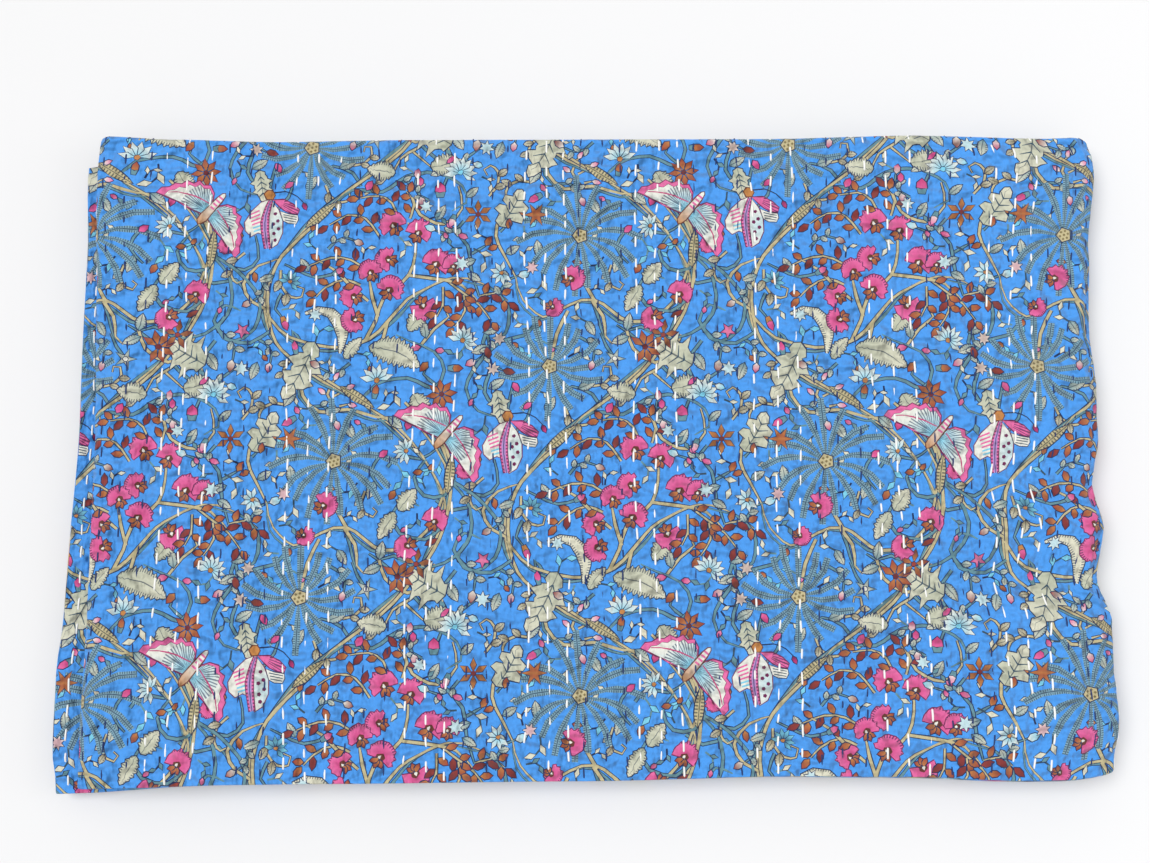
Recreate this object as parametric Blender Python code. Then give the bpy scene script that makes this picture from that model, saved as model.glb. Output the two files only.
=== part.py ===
# A printed cotton quilt, hand-quilted in running-stitch rows, folded to a flat stack.
# The whole quilt is one sheet of cloth: its two long edges are turned to the middle and
# the strip is closed like a book (four plies), then it is folded in half and in half
# again (four packs of four plies). Metres, +Z up, +X along the long side of the stack.

import math

import bmesh
import bpy
from mathutils import Vector

MM = 0.001

# thicknesses of the stack
CLOTH = 1.0 * MM  # the two cottons stitched together
PLY = 1.6 * MM  # from one ply to the next in a pack
PACK_GAP = 0.9 * MM  # air between two packs
HEM_EXTRA = 0.15 * MM  # how much each face of a hem stands out
PACK = 3 * PLY + CLOTH
STEP = PACK + PACK_GAP
STACK = 4 * PACK + 3 * PACK_GAP
MIDDLE = STACK / 2

# where the folds and hems lie in the plan, before they are made uneven
SPINE_Y = 178.6 * MM  # centre of the book fold of every pack, at the back
TURN_Y = -179.0 * MM  # centre of the two turned edges of every pack, at the front
RIGHT_X = 277.0 * MM  # centre of both right folds
LEFT_X = -268.5 * MM  # centre of the left fold
TURN_R = PLY / 2
SPINE_R = 1.5 * PLY

# cross lines of the cloth on one ply, from the front edge to the back edge
LINES_Y = [
    -179.0, -150.0, -118.0, -94.0, -70.0, -42.0, -18.0, 8.0, 40.0, 66.0, 120.0, 163.0, 169.0, 170.5, 178.6,
]
# long lines of the cloth on one pack, from the left fold to the right fold
LINES_X = [-268.5, -225.6, 152.1, 277.0]
SPINE_CUTS = 4
TURN_CUTS = 2
OUTER_CUTS = 7
LEFT_CUTS = 5
INNER_CUTS = 4
HEM_WIDE = 8.0 * MM
HEM_LEAN = 1.6 * MM  # how far the hem of a pack's inside ply lags behind its outside ply

# quilting: rows of running stitch about 11 mm apart, each row a soft trough. The table gives
# x in mm of every sixth row, the middle one of three white rows.
WHITE_MIDDLES = [-291.0, -225.6, -151.9, -84.9, -20.7, 41.2, 107.0, 174.6, 241.5, 306.0]
ROWS_A_GROUP = 6
TROUGH = 0.28 * MM
RIDGE = 0.22 * MM
ROW_CLEAR = 3.0 * MM  # rows keep this far from the folds' first lines

# (y, x) in mm: how far right the outer fold reaches beside RIGHT_X + MIDDLE
RIGHT_OUT = [
    (-186, -4.0), (-179, -0.5), (-150, 4.2), (-118, 2.4), (-94, 3.0), (-70, -4.0),
    (-42, 1.3), (-18, -4.2), (8, 0.2), (40, 0.4), (66, -1.6), (120, 1.2), (163, 7.2),
    (170.5, 6.6), (178.6, 4.0), (186, 0.5),
]
# (y, x) in mm: how far the left fold moves to the left (-) or right (+)
LEFT_OUT = [(-186, 0.0), (-163, -0.6), (-82, 0.9), (1, 0.0), (87, -3.4), (150, -6.2), (163, -6.2), (186, -4.8)]
# (y, x) in mm: the left hem of the upper loose pack, with its stepped corner at the back
HEM_UPPER = [
    (-186, -288.4), (-179, -288.8), (-173, -289.2), (-160, -291.4), (-150, -291.8), (-118, -291.8),
    (-88, -289.4), (-54, -288.4), (8, -286.2), (75, -286.9), (120, -286.8), (163, -288.8),
    (169, -288.6), (170.5, -279.0), (186, -276.0),
]
# (y, x) in mm: the left hem of the lowest pack
HEM_LOWER = [
    (-186, -285.0), (-164, -289.0), (-94, -287.5), (8, -285.0), (66, -284.0), (163, -285.0),
    (169, -277.5),
]
# (x, y) in mm: how far the back and front edges of the stack swell or draw in
BACK_OUT = [
    (-300, 2.6), (-268, 2.6), (-236, 0.6), (-180, -1.2), (-95, 0.0), (100, 0.6), (190, 2.8),
    (262, 0.8), (300, 2.4),
]
FRONT_OUT = [
    (-300, -4.6), (-250, -3.2), (-190, -1.4), (-150, -0.9), (0, 0.6), (110, 3.2), (178, 2.8),
    (234, 0.9), (262, 1.2), (300, 6.0),
]
# (distance along the strip in packs, y in mm): each fold turns its pack a little
SKEW = [(0.0, -2.0), (0.08, -0.2), (1.0, 0.0), (2.0, 0.0), (3.0, -1.2), (3.92, -1.2), (4.0, -3.1)]
# (x, y, reach x, reach y, height) in mm: soft hollows and swells of the top
SWELLS = [
    (-262, 20, 50, 260, -1.5), (255, -60, 60, 200, 1.0), (-60, 150, 160, 50, 0.7),
    (120, -150, 150, 46, -0.8), (-170, -80, 120, 70, 0.8), (60, 30, 150, 60, -0.7),
]


def table(pairs, at):
    """Value of a short table at a distance, both in mm."""
    if at <= pairs[0][0]:
        return pairs[0][1]
    for (a, low), (b, high) in zip(pairs, pairs[1:]):
        if at <= b:
            return low + (high - low) * (at - a) / (b - a)
    return pairs[-1][1]


def ease(at, start, end):
    """0 at start, 1 at end, smooth between."""
    t = min(1.0, max(0.0, (at - start) / (end - start)))
    return t * t * (3 - 2 * t)


def across_lines():
    """The cloth's cross section in one pack, from hem to hem: (y, height, normal y, normal height)."""
    level = [CLOTH / 2 + k * PLY for k in range(4)]
    ys = [y * MM for y in LINES_Y]
    flap = [y for y in ys if y < SPINE_Y - MM]
    lines = [(y, level[1], 0.0, 1.0) for y in reversed(flap)]
    lines += turn(TURN_Y, level[0] + TURN_R, TURN_R, 90, 270, TURN_CUTS)
    lines += [(y, level[0], 0.0, -1.0) for y in ys]
    lines += turn(SPINE_Y, level[0] + SPINE_R, SPINE_R, -90, 90, SPINE_CUTS)
    lines += [(y, level[3], 0.0, 1.0) for y in reversed(ys)]
    lines += turn(TURN_Y, level[2] + TURN_R, TURN_R, 90, 270, TURN_CUTS)
    lines += [(y, level[2], 0.0, -1.0) for y in flap]
    return lines


def turn(y, height, radius, start, end, cuts):
    """The inner lines of one rounded edge."""
    lines = []
    for k in range(1, cuts):
        angle = math.radians(start + (end - start) * k / cuts)
        c = math.cos(angle)
        s = math.sin(angle)
        lines.append((y + radius * c, height + radius * s, c, s))
    return lines


def along_lines():
    """Stations along the strip, from the lowest pack's hem to the other hem: (part, place, packs from the start)."""
    xs = [x * MM for x in LINES_X]
    span = RIGHT_X - LEFT_X

    def part(x):
        return (x - LEFT_X) / span

    lines = [("lowest", None, 0.0), ("lowest", HEM_WIDE, 0.02)]
    lines += [("lowest", x, part(x)) for x in xs[1:]]
    lines += [("outer", k / OUTER_CUTS, 1.0) for k in range(1, OUTER_CUTS)]
    lines += [("top", x, 2.0 - part(x)) for x in reversed(xs)]
    lines += [("left", k / LEFT_CUTS, 2.0) for k in range(1, LEFT_CUTS)]
    lines += [("under", x, 2.0 + part(x)) for x in xs]
    lines += [("inner", k / INNER_CUTS, 3.0) for k in range(1, INNER_CUTS)]
    lines += [("upper", x, 4.0 - part(x)) for x in reversed(xs[1:])]
    lines += [("upper", HEM_WIDE, 3.98), ("upper", None, 4.0)]
    return lines


def place(station, y, height):
    """Plan x, z and the direction of growing height for a station of the strip."""
    part, where, packs = station
    if part in ("lowest", "upper"):
        hem = table(HEM_LOWER if part == "lowest" else HEM_UPPER, y / MM) * MM
        hem += HEM_LEAN * (height - CLOTH / 2) / (3 * PLY)
        x = hem if where is None else hem + where if where == HEM_WIDE else where
        if part == "lowest":
            return x, height, 0.0, 1.0
        return x, STEP + PACK - height, 0.0, -1.0
    if part == "top":
        return where, STACK - height, 0.0, -1.0
    if part == "under":
        return where, 2 * STEP + height, 0.0, 1.0
    if part == "outer":
        angle = math.radians(-90 + 180 * where)
        radius = MIDDLE - height
        c = math.cos(angle)
        s = math.sin(angle)
        return RIGHT_X + radius * c, MIDDLE + radius * s, -c, -s
    if part == "inner":
        angle = math.radians(90 - 180 * where)
        radius = height + PACK_GAP / 2
        c = math.cos(angle)
        s = math.sin(angle)
        return RIGHT_X + radius * c, MIDDLE + radius * s, c, s
    angle = math.radians(90 - 180 * where)
    radius = (STACK - 2 * STEP) / 2 - height
    c = math.cos(angle)
    s = math.sin(angle)
    return LEFT_X - radius * c, (STACK + 2 * STEP) / 2 + radius * s, c, -s


def uneven(part, packs, x, y, z):
    """Moves a point of the regular fold to where the soft cloth lies."""
    xm = x / MM
    ym = y / MM
    right = ease(xm, 150, 270) * table(RIGHT_OUT, ym)
    left = 0.0
    if part in ("top", "left", "under"):
        left = (1 - ease(xm, -268.5, -230)) * table(LEFT_OUT, ym)
    back = ease(ym, 60, 175) * table(BACK_OUT, xm)
    front = (1 - ease(ym, -175, -60)) * table(FRONT_OUT, xm)
    swell = 0.0
    for cx, cy, rx, ry, height in SWELLS:
        d = ((xm - cx) / rx) ** 2 + ((ym - cy) / ry) ** 2
        swell += height * math.exp(-d)
    droop = -1.0 * ease(abs(ym), 140, 186)
    scale = 1 + (swell + droop) * MM / STACK
    return Vector((x + (right + left) * MM, y + (back + front + table(SKEW, packs)) * MM, z * scale))


def cloth_point(station, line, side, lift=0.0):
    """A point on the front (side 1) or the back (side -1) of the cloth."""
    y, height, ny, nh = line
    x, z, hx, hz = place(station, y, height)
    hem = HEM_EXTRA if station[1] is None or line_is_hem(line) else 0.0
    if station[0] == "lowest" and side > 0 and nh < 0:
        hem = 0.0  # the face that lies on the surface stays level
    off = side * (CLOTH / 2 + hem) + lift
    return uneven(station[0], station[2], x + off * nh * hx, y + off * ny, z + off * nh * hz)


def line_is_hem(line):
    """True on the outermost line of the two turned-in flaps."""
    level = round((line[1] - CLOTH / 2) / PLY, 3)
    return level in (1.0, 2.0) and abs(line[0] / MM - 170.5) < 0.01


def quilting_lines():
    """x of every trough (even place) and of the ridge after it (odd place), from left to right."""
    rows = []
    for a, b in zip(WHITE_MIDDLES, WHITE_MIDDLES[1:]):
        rows += [a + (b - a) * k / ROWS_A_GROUP for k in range(ROWS_A_GROUP)]
    rows = [x + 0.8 * math.sin(i * 2.1) for i, x in enumerate(rows)]
    lines = []
    for a, b in zip(rows, rows[1:]):
        lines += [a * MM, (a + b) / 2 * MM]
    return lines


def sway(index, y):
    """How far a quilting line strays sideways at y."""
    row = index / 2
    return (1.5 * math.sin(y / MM * 0.013 + row * 0.37) + 0.9 * math.sin(y / MM * 0.041 + row * 1.9)) * MM


def row_lift(index, line_index, y):
    """Height of a quilting line: even ones are stitched troughs, odd ones the ridges between."""
    wave = math.sin(index * 2.399 + y / MM * 0.031) * 0.5 + math.sin(index * 1.13 - line_index * 1.7) * 0.3
    if index % 2 == 0:
        return -TROUGH * (1 + 0.4 * wave)
    return RIDGE * (1 + 0.5 * wave)


def fan(mesh, chain, near, far):
    """Triangles from a chain of points to the two points opposite it."""
    half = len(chain) // 2
    for k in range(half):
        mesh.faces.new((chain[k], chain[k + 1], near))
    mesh.faces.new((chain[half], far, near))
    for k in range(half, len(chain) - 1):
        mesh.faces.new((chain[k], chain[k + 1], far))


def build_quilt():
    """The quilt as one closed solid: front and back faces of the cloth, joined round its hems."""
    mesh = bmesh.new()
    stations = along_lines()
    lines = across_lines()
    nu = len(stations)
    nv = len(lines)
    top_first = stations.index(("top", RIGHT_X, 1.0))
    top_last = top_first + len(LINES_X) - 1
    flap_count = len(LINES_Y) - 1
    flat_first = flap_count + TURN_CUTS - 1
    flat_last = flat_first + len(LINES_Y) - 1
    front = []
    back = []
    for i, station in enumerate(stations):
        front.append([])
        back.append([])
        for j, line in enumerate(lines):
            lift = 0.0
            if top_first < i < top_last and flat_first < j < flat_last:
                lift = row_lift(0, j, line[0])
            front[i].append(mesh.verts.new(cloth_point(station, line, 1, lift)))
            back[i].append(mesh.verts.new(cloth_point(station, line, -1)))
    # quilting lines between two long lines of the top, on its front face only
    between = {}
    for i in range(top_first, top_last):
        start = stations[i][1]
        end = stations[i + 1][1]
        steps = [(k, x) for k, x in enumerate(quilting_lines()) if end + ROW_CLEAR < x < start - ROW_CLEAR]
        steps.reverse()
        for j in range(flat_first, flat_last + 1):
            spots = []
            for k, x in steps:
                share = (start - x) / (start - end)
                y = lines[j][0]
                base = cloth_point(stations[i], lines[j], 1).lerp(cloth_point(stations[i + 1], lines[j], 1), share)
                if flat_first < j < flat_last:
                    base.z += row_lift(k, j, y)
                    base.x += sway(k, y)
                spots.append(mesh.verts.new(base))
            between[i, j] = spots
    for i in range(nu - 1):
        for j in range(nv - 1):
            low = between.get((i, j), [])
            high = between.get((i, j + 1), [])
            if low and high:
                first = [front[i][j], *low, front[i + 1][j]]
                second = [front[i][j + 1], *high, front[i + 1][j + 1]]
                for k in range(len(first) - 1):
                    mesh.faces.new((first[k], first[k + 1], second[k + 1], second[k]))
            elif low or high:
                row = j if low else j + 1
                other = j + 1 if low else j
                fan(mesh, [front[i][row], *(low or high), front[i + 1][row]], front[i][other], front[i + 1][other])
            else:
                mesh.faces.new((front[i][j], front[i + 1][j], front[i + 1][j + 1], front[i][j + 1]))
            mesh.faces.new((back[i][j], back[i][j + 1], back[i + 1][j + 1], back[i + 1][j]))
    for i in range(nu - 1):
        for j in (0, nv - 1):
            mesh.faces.new((front[i][j], back[i][j], back[i + 1][j], front[i + 1][j]))
    for j in range(nv - 1):
        for i in (0, nu - 1):
            mesh.faces.new((front[i][j], front[i][j + 1], back[i][j + 1], back[i][j]))
    bmesh.ops.triangulate(mesh, faces=mesh.faces[:], quad_method="SHORT_EDGE")
    bmesh.ops.recalc_face_normals(mesh, faces=mesh.faces[:])
    low = Vector((min(v.co[k] for v in mesh.verts) for k in range(3)))
    high = Vector((max(v.co[k] for v in mesh.verts) for k in range(3)))
    middle = Vector(((low.x + high.x) / 2, (low.y + high.y) / 2, low.z))
    bmesh.ops.translate(mesh, verts=mesh.verts[:], vec=-middle)
    return mesh


def cotton():
    """Bright azure printed cotton."""
    material = bpy.data.materials.new("printed_cotton")
    material.use_nodes = True
    shader = material.node_tree.nodes["Principled BSDF"]
    shader.inputs["Base Color"].default_value = (0.070, 0.290, 0.830, 1.0)
    shader.inputs["Roughness"].default_value = 0.85
    shader.inputs["Metallic"].default_value = 0.0
    return material


for old in list(bpy.data.objects):
    bpy.data.objects.remove(old)

solid = build_quilt()
data = bpy.data.meshes.new("quilt")
solid.to_mesh(data)
solid.free()
data.materials.append(cotton())
quilt = bpy.data.objects.new("quilt", data)
bpy.context.scene.collection.objects.link(quilt)
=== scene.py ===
# A printed cotton quilt folded to a flat stack, seen almost from straight above on a pale floor.
import random
from math import atan2, ceil, cos, degrees, dist, exp, floor, hypot, pi, radians, sin, tau

import bmesh
import bpy
import numpy as np
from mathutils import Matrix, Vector
from mathutils.bvhtree import BVHTree
from mathutils.geometry import delaunay_2d_cdt
from mathutils.kdtree import KDTree


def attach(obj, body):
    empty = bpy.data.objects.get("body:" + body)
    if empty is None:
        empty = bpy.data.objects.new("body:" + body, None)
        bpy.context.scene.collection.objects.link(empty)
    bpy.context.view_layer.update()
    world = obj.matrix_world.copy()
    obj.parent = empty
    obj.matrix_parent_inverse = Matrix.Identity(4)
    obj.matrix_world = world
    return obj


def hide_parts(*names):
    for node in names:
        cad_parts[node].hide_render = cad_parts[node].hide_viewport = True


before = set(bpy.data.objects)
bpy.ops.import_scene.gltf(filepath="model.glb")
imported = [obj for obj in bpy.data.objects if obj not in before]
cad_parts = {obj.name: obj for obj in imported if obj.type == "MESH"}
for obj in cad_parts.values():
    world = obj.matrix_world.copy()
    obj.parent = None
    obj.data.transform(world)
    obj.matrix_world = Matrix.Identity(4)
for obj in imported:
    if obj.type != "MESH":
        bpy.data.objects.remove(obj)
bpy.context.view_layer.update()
scene = bpy.context.scene

# ---------------------------------------------------------------- camera, floor and light
# The camera hangs almost straight above, leaning a little towards the front edge.
CAMERA_LEAN, CAMERA_AWAY = radians(8.4), 0.782
AIM = Vector((-0.0075, 0.0128, 0.025))
FOCUS_PIXELS, PICTURE_PIXELS, SENSOR = 1400.0, 1150.0, 36.0
camera = bpy.data.objects.new("camera", bpy.data.cameras.new("camera"))
scene.collection.objects.link(camera)
camera.data.sensor_width = SENSOR
camera.data.lens = FOCUS_PIXELS / PICTURE_PIXELS * SENSOR
camera.rotation_euler = (CAMERA_LEAN, 0.0, 0.0)
camera.location = AIM + CAMERA_AWAY * Vector((0.0, -sin(CAMERA_LEAN), cos(CAMERA_LEAN)))
scene.camera = camera


def plain_material(name, colour, roughness, specular):
    """A material of one colour all over."""
    material = bpy.data.materials.new(name)
    material.use_nodes = True
    inputs = material.node_tree.nodes["Principled BSDF"].inputs
    inputs["Base Color"].default_value = (*colour, 1)
    inputs["Roughness"].default_value = roughness
    inputs["Specular IOR Level"].default_value = specular
    return material


# A pale floor that runs far past the frame, a hair below the quilt.
FLOOR_REACH, FLOOR_DROP = 12.0, 0.0002
form = bmesh.new()
bmesh.ops.create_grid(form, x_segments=1, y_segments=1, size=FLOOR_REACH)
mesh = bpy.data.meshes.new("floor")
form.to_mesh(mesh)
form.free()
mesh.materials.append(plain_material("floor_paint", (0.745, 0.745, 0.75), 0.9, 0.2))
pale_floor = bpy.data.objects.new("floor", mesh)
pale_floor.location.z = -FLOOR_DROP
scene.collection.objects.link(pale_floor)

# Even white surroundings, a broad slanting light from the upper left and a weak lamp at the right.
world = bpy.data.worlds.new("surroundings")
scene.world = world
world.use_nodes = True
world.node_tree.nodes["Background"].inputs["Color"].default_value = (1.0, 1.0, 1.0, 1)
world.node_tree.nodes["Background"].inputs["Strength"].default_value = 0.62
slant = bpy.data.lights.new("slant_light", "SUN")
slant.energy = 2.15
slant.angle = radians(36)
lamp = bpy.data.lights.new("lamp_right", "AREA")
lamp.size = 0.9
lamp.energy = 4.0
for light, place in ((slant, (-0.72, 0.2, 1.6)), (lamp, (1.5, -0.1, 0.9))):
    light_object = bpy.data.objects.new(light.name, light)
    light_object.location = place
    light_object.rotation_euler = (-Vector(place)).to_track_quat("-Z", "Y").to_euler()
    scene.collection.objects.link(light_object)
scene.view_settings.view_transform = "Standard"

# ---------------------------------------------------------------- how the quilt is folded
# The long edges are turned to the middle, the strip is closed like a book (four plies) and
# folded in half and in half again (four packs). Sizes in mm, the same as the solid's.
MM = 0.001
CLOTH, PLY, PACK_GAP = 1.0, 1.6, 0.9
PACK = 3 * PLY + CLOTH
STEP = PACK + PACK_GAP
STACK = 4 * PACK + 3 * PACK_GAP
SHIFT = Vector((2.5127, -1.8638, 0.0))  # the middle of the solid
SPINE_Y, TURN_Y, RIGHT_X, LEFT_X = 178.6, -179.0, 277.0, -268.5
TURN_R, SPINE_R = PLY / 2, 1.5 * PLY
OUTER_R = STACK / 2 - CLOTH / 2
LEFT_R = (STACK - 2 * STEP) / 2 - CLOTH / 2
INNER_R = CLOTH / 2 + PACK_GAP / 2
TURN_ARC, SPINE_ARC = pi * TURN_R, pi * SPINE_R
OUTER_ARC, LEFT_ARC, INNER_ARC = pi * OUTER_R, pi * LEFT_R, pi * INNER_R
ACROSS, ALONG = SPINE_Y - TURN_Y, RIGHT_X - LEFT_X
HEM_NOMINAL, HEM_SOFT, HEM_LEAN = -290.0, -240.0, 1.6
# where the folds start and end, along the cloth (u) and across it (v)
LOW_U, HIGH_U = LEFT_X - LEFT_ARC, RIGHT_X + OUTER_ARC
INNER_U = LOW_U - ALONG
UPPER_U = INNER_U - INNER_ARC
UPPER_END, LOWER_END = UPPER_U - (RIGHT_X - HEM_NOMINAL), HIGH_U + (RIGHT_X - HEM_NOMINAL)
LOW_V, HIGH_V = TURN_Y - TURN_ARC, SPINE_Y + SPINE_ARC
# how far each side lies from its straight line: (place along the side, distance)
RIGHT_OUT = [
    (-186, -4.0), (-179, -0.5), (-150, 4.2), (-118, 2.4), (-94, 3.0), (-70, -4.0), (-42, 1.3),
    (-18, -4.2), (8, 0.2), (40, 0.4), (66, -1.6), (120, 1.2), (163, 7.2), (170.5, 6.6), (178.6, 4.0),
    (186, 0.5),
]
LEFT_OUT = [
    (-186, 0.0), (-163, -0.6), (-82, 0.9), (1, 0.0), (87, -3.4), (150, -6.2), (163, -6.2), (186, -4.8),
]
HEM_UPPER = [
    (-186, -288.4), (-179, -288.8), (-173, -289.2), (-160, -291.4), (-150, -291.8), (-118, -291.8),
    (-88, -289.4), (-54, -288.4), (8, -286.2), (75, -286.9), (120, -286.8), (163, -288.8),
    (169, -288.6), (170.5, -279.0), (186, -276.0),
]
HEM_LOWER = [
    (-186, -285.0), (-164, -289.0), (-94, -287.5), (8, -285.0), (66, -284.0), (163, -285.0),
    (169, -277.5),
]
BACK_OUT = [
    (-300, 2.6), (-268, 2.6), (-236, 0.6), (-180, -1.2), (-95, 0.0), (100, 0.6), (190, 2.8),
    (262, 0.8), (300, 2.4),
]
FRONT_OUT = [
    (-300, -4.6), (-250, -3.2), (-190, -1.4), (-150, -0.9), (0, 0.6), (110, 3.2), (178, 2.8),
    (234, 0.9), (262, 1.2), (300, 6.0),
]
# how far each pack is shifted back: (number of packs above the floor, distance)
SKEW = [(0.0, -2.0), (0.08, -0.2), (1.0, 0.0), (2.0, 0.0), (3.0, -1.2), (3.92, -1.2), (4.0, -3.1)]
# soft rises and hollows of the stack: (x, y, width, depth, rise)
SWELLS = [
    (-262, 20, 50, 260, -1.5), (255, -60, 60, 200, 1.0), (-60, 150, 160, 50, 0.7),
    (120, -150, 150, 46, -0.8), (-170, -80, 120, 70, 0.8), (60, 30, 150, 60, -0.7),
]
# the stretches over which the sides' distances fade in
RIGHT_FADE, LEFT_FADE, BACK_FADE, FRONT_FADE = (150, 270), (LEFT_X, -230), (60, 175), (-175, -60)
RIM_FADE = (140, 186)


def table(pairs, at):
    """Smoothed value of a short table."""
    if at <= pairs[0][0]:
        return pairs[0][1]
    for (a, low), (b, high) in zip(pairs, pairs[1:]):
        if at <= b:
            t = (at - a) / (b - a)
            return low + (high - low) * (0.35 * t + 0.65 * t * t * (3 - 2 * t))
    return pairs[-1][1]


def ease(at, start, end):
    """Runs softly from 0 at the start to 1 at the end."""
    t = min(1.0, max(0.0, (at - start) / (end - start)))
    return t * t * (3 - 2 * t)


def bent(x, z, radius, angle):
    """A point of a round fold about (x, z), and the direction that it faces."""
    return x + radius * cos(angle), z + radius * sin(angle), cos(angle), sin(angle)


def across(v):
    """Where the cloth's cross line v lies in a pack: (y, height, normal y, normal height).
    v is y on the outside ply."""
    low = CLOTH / 2
    if v < TURN_Y:
        over = (TURN_Y - v) / TURN_R
        if over < pi:
            return bent(TURN_Y, low + TURN_R, TURN_R, 1.5 * pi - over)
        return TURN_Y + (over - pi) * TURN_R, low + PLY, 0.0, 1.0
    if v <= SPINE_Y:
        return v, low, 0.0, -1.0
    over = (v - SPINE_Y) / SPINE_R
    if over < pi:
        return bent(SPINE_Y, low + SPINE_R, SPINE_R, over - 0.5 * pi)
    v = v - SPINE_Y - SPINE_ARC
    if v < ACROSS:
        return SPINE_Y - v, low + 3 * PLY, 0.0, 1.0
    over = (v - ACROSS) / TURN_R
    if over < pi:
        return bent(TURN_Y, low + 2.5 * PLY, TURN_R, 0.5 * pi + over)
    return TURN_Y + (over - pi) * TURN_R, low + 2 * PLY, 0.0, -1.0


def lies(u, v, lift=0.0):
    """The point of the cloth's face at (u, v). u is x on the top ply and runs on round the folds."""
    y, height, ny, nh = across(v)
    hem, left, facing = None, 0.0, -1.0
    if u > HIGH_U:
        x, z, hx, hz = RIGHT_X - (u - HIGH_U), height, 0.0, -1.0
        packs, hem = (x - LEFT_X) / ALONG, HEM_LOWER
    elif u > RIGHT_X:
        x, z, hx, hz = bent(RIGHT_X, STACK / 2, STACK / 2 - height, 0.5 * pi - (u - RIGHT_X) / OUTER_R)
        packs = 1.0
    elif u >= LEFT_X:
        x, z, hx, hz = u, STACK - height, 0.0, 1.0
        packs, left = 2.0 - (u - LEFT_X) / ALONG, 1.0
    elif u > LOW_U:
        middle, radius = (STACK + 2 * STEP) / 2, (STACK - 2 * STEP) / 2 - height
        x, z, hx, hz = bent(LEFT_X, middle, radius, 0.5 * pi + (LEFT_X - u) / LEFT_R)
        packs, left = 2.0, 1.0
    elif u > INNER_U:
        x, z, hx, hz = LEFT_X + (LOW_U - u), 2 * STEP + height, 0.0, -1.0
        packs, left = 2.0 + (x - LEFT_X) / ALONG, 1.0
    elif u > UPPER_U:
        x, z, hx, hz = bent(RIGHT_X, STACK / 2, height + PACK_GAP / 2, 0.5 * pi - (INNER_U - u) / INNER_R)
        packs, facing = 3.0, 1.0
    else:
        x, z, hx, hz = RIGHT_X + (u - UPPER_U), STEP + PACK - height, 0.0, 1.0
        packs, hem = 4.0 - (x - LEFT_X) / ALONG, HEM_UPPER
    if hem and x < HEM_SOFT:
        end = table(hem, y) + HEM_LEAN * (height - CLOTH / 2) / (3 * PLY)
        x = HEM_SOFT + (x - HEM_SOFT) * (end - HEM_SOFT) / (HEM_NOMINAL - HEM_SOFT)
    off = CLOTH / 2 + lift
    x, y, z = x + facing * off * nh * hx, y + off * ny, z + facing * off * nh * hz
    right = ease(x, *RIGHT_FADE) * table(RIGHT_OUT, y)
    left *= (1 - ease(x, *LEFT_FADE)) * table(LEFT_OUT, y)
    back = ease(y, *BACK_FADE) * table(BACK_OUT, x)
    front = (1 - ease(y, *FRONT_FADE)) * table(FRONT_OUT, x)
    swell = -ease(abs(y), *RIM_FADE)
    for cx, cy, rx, ry, rise in SWELLS:
        swell += rise * exp(-(((x - cx) / rx) ** 2) - ((y - cy) / ry) ** 2)
    point = Vector((x + right + left, y + back + front + table(SKEW, packs), z * (1 + swell / STACK)))
    return (point - SHIFT) * MM


# ---------------------------------------------------------------- rows of running stitch
# Three white rows and three navy rows by turns, about 11 mm apart; the spacing drifts a
# little, as hand work does. Each row is (u, thread) with u in mm across the top.
WHITE_MIDDLES = [-291.0, -225.6, -151.9, -84.9, -20.7, 41.2, 107.0, 174.6, 241.5, 306.0]
GROUP = ("white", "white", "navy", "navy", "navy", "white")
HALF_ROW, ROW_DEPTH, PUFF, DIMPLE = 5.5, 0.55, 0.72, 0.2
rows = []
for start, end in zip(WHITE_MIDDLES, WHITE_MIDDLES[1:]):
    for k, thread in enumerate(GROUP):
        rows.append((start + (end - start) * k / len(GROUP) + 0.8 * sin(len(rows) * 2.1), thread))
row_us = np.array([u for u, thread in rows])


def sway(index, v):
    """How far a row strays sideways at v."""
    return 1.5 * sin(v * 0.013 + index * 0.37) + 0.9 * sin(v * 0.041 + index * 1.9)


def creased(u, v):
    """Soft uneven creases and puckers of the top cloth."""
    long = sin(u * 0.083 + 1.7 * sin(v * 0.021) + 0.6)
    long += 0.7 * sin(u * 0.137 - v * 0.031 + 1.1 * sin(v * 0.043))
    cross = sin(v * 0.19 + 1.3 * sin(u * 0.11)) * sin(u * 0.26 + 0.9 * sin(v * 0.07))
    fine = sin(v * 0.52 + 1.1 * sin(u * 0.31)) * sin(u * 0.61 + 1.4 * sin(v * 0.23))
    return 0.28 * long + 0.24 * cross + 0.14 * fine


def quilted(u, v):
    """Height of the top cloth between its rows: low on a row, puffed between two."""
    i = int(np.argmin(np.abs(row_us - u)))
    beside = (max(0, i - 1), i, min(len(row_us) - 1, i + 1))
    near, k = min((abs(u - row_us[k] - sway(k, v)), k) for k in beside)
    puff = 0.5 - 0.5 * cos(min(1.0, near / HALF_ROW) * pi)
    return -ROW_DEPTH + PUFF * puff + creased(u, v) + DIMPLE * (1 - puff) * sin(v * 0.46 + k * 1.9)


# ---------------------------------------------------------------- the print
# One repeat is drawn as plain shapes in inks, later layers over earlier ones.
# Lengths are in repeat units of 0.571 mm; START is the corner of a repeat on the cloth in
# mm, and the next row of repeats is moved by half.
UNIT = 0.571
WIDE, HIGH = 480.0, 226.0
START = (-196.2, 135.8)
layers = {name: [] for name in (
    "thin_edge", "thin", "under_edge", "under", "vine_edge", "vine", "shade", "fan", "leaf", "flower",
    "wing",
)}


def ink(*rgb):
    """Linear colour of a printed ink."""
    return tuple(c / 255 / 12.92 if c <= 10 else ((c / 255 + 0.055) / 1.055) ** 2.4 for c in rgb)


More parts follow.
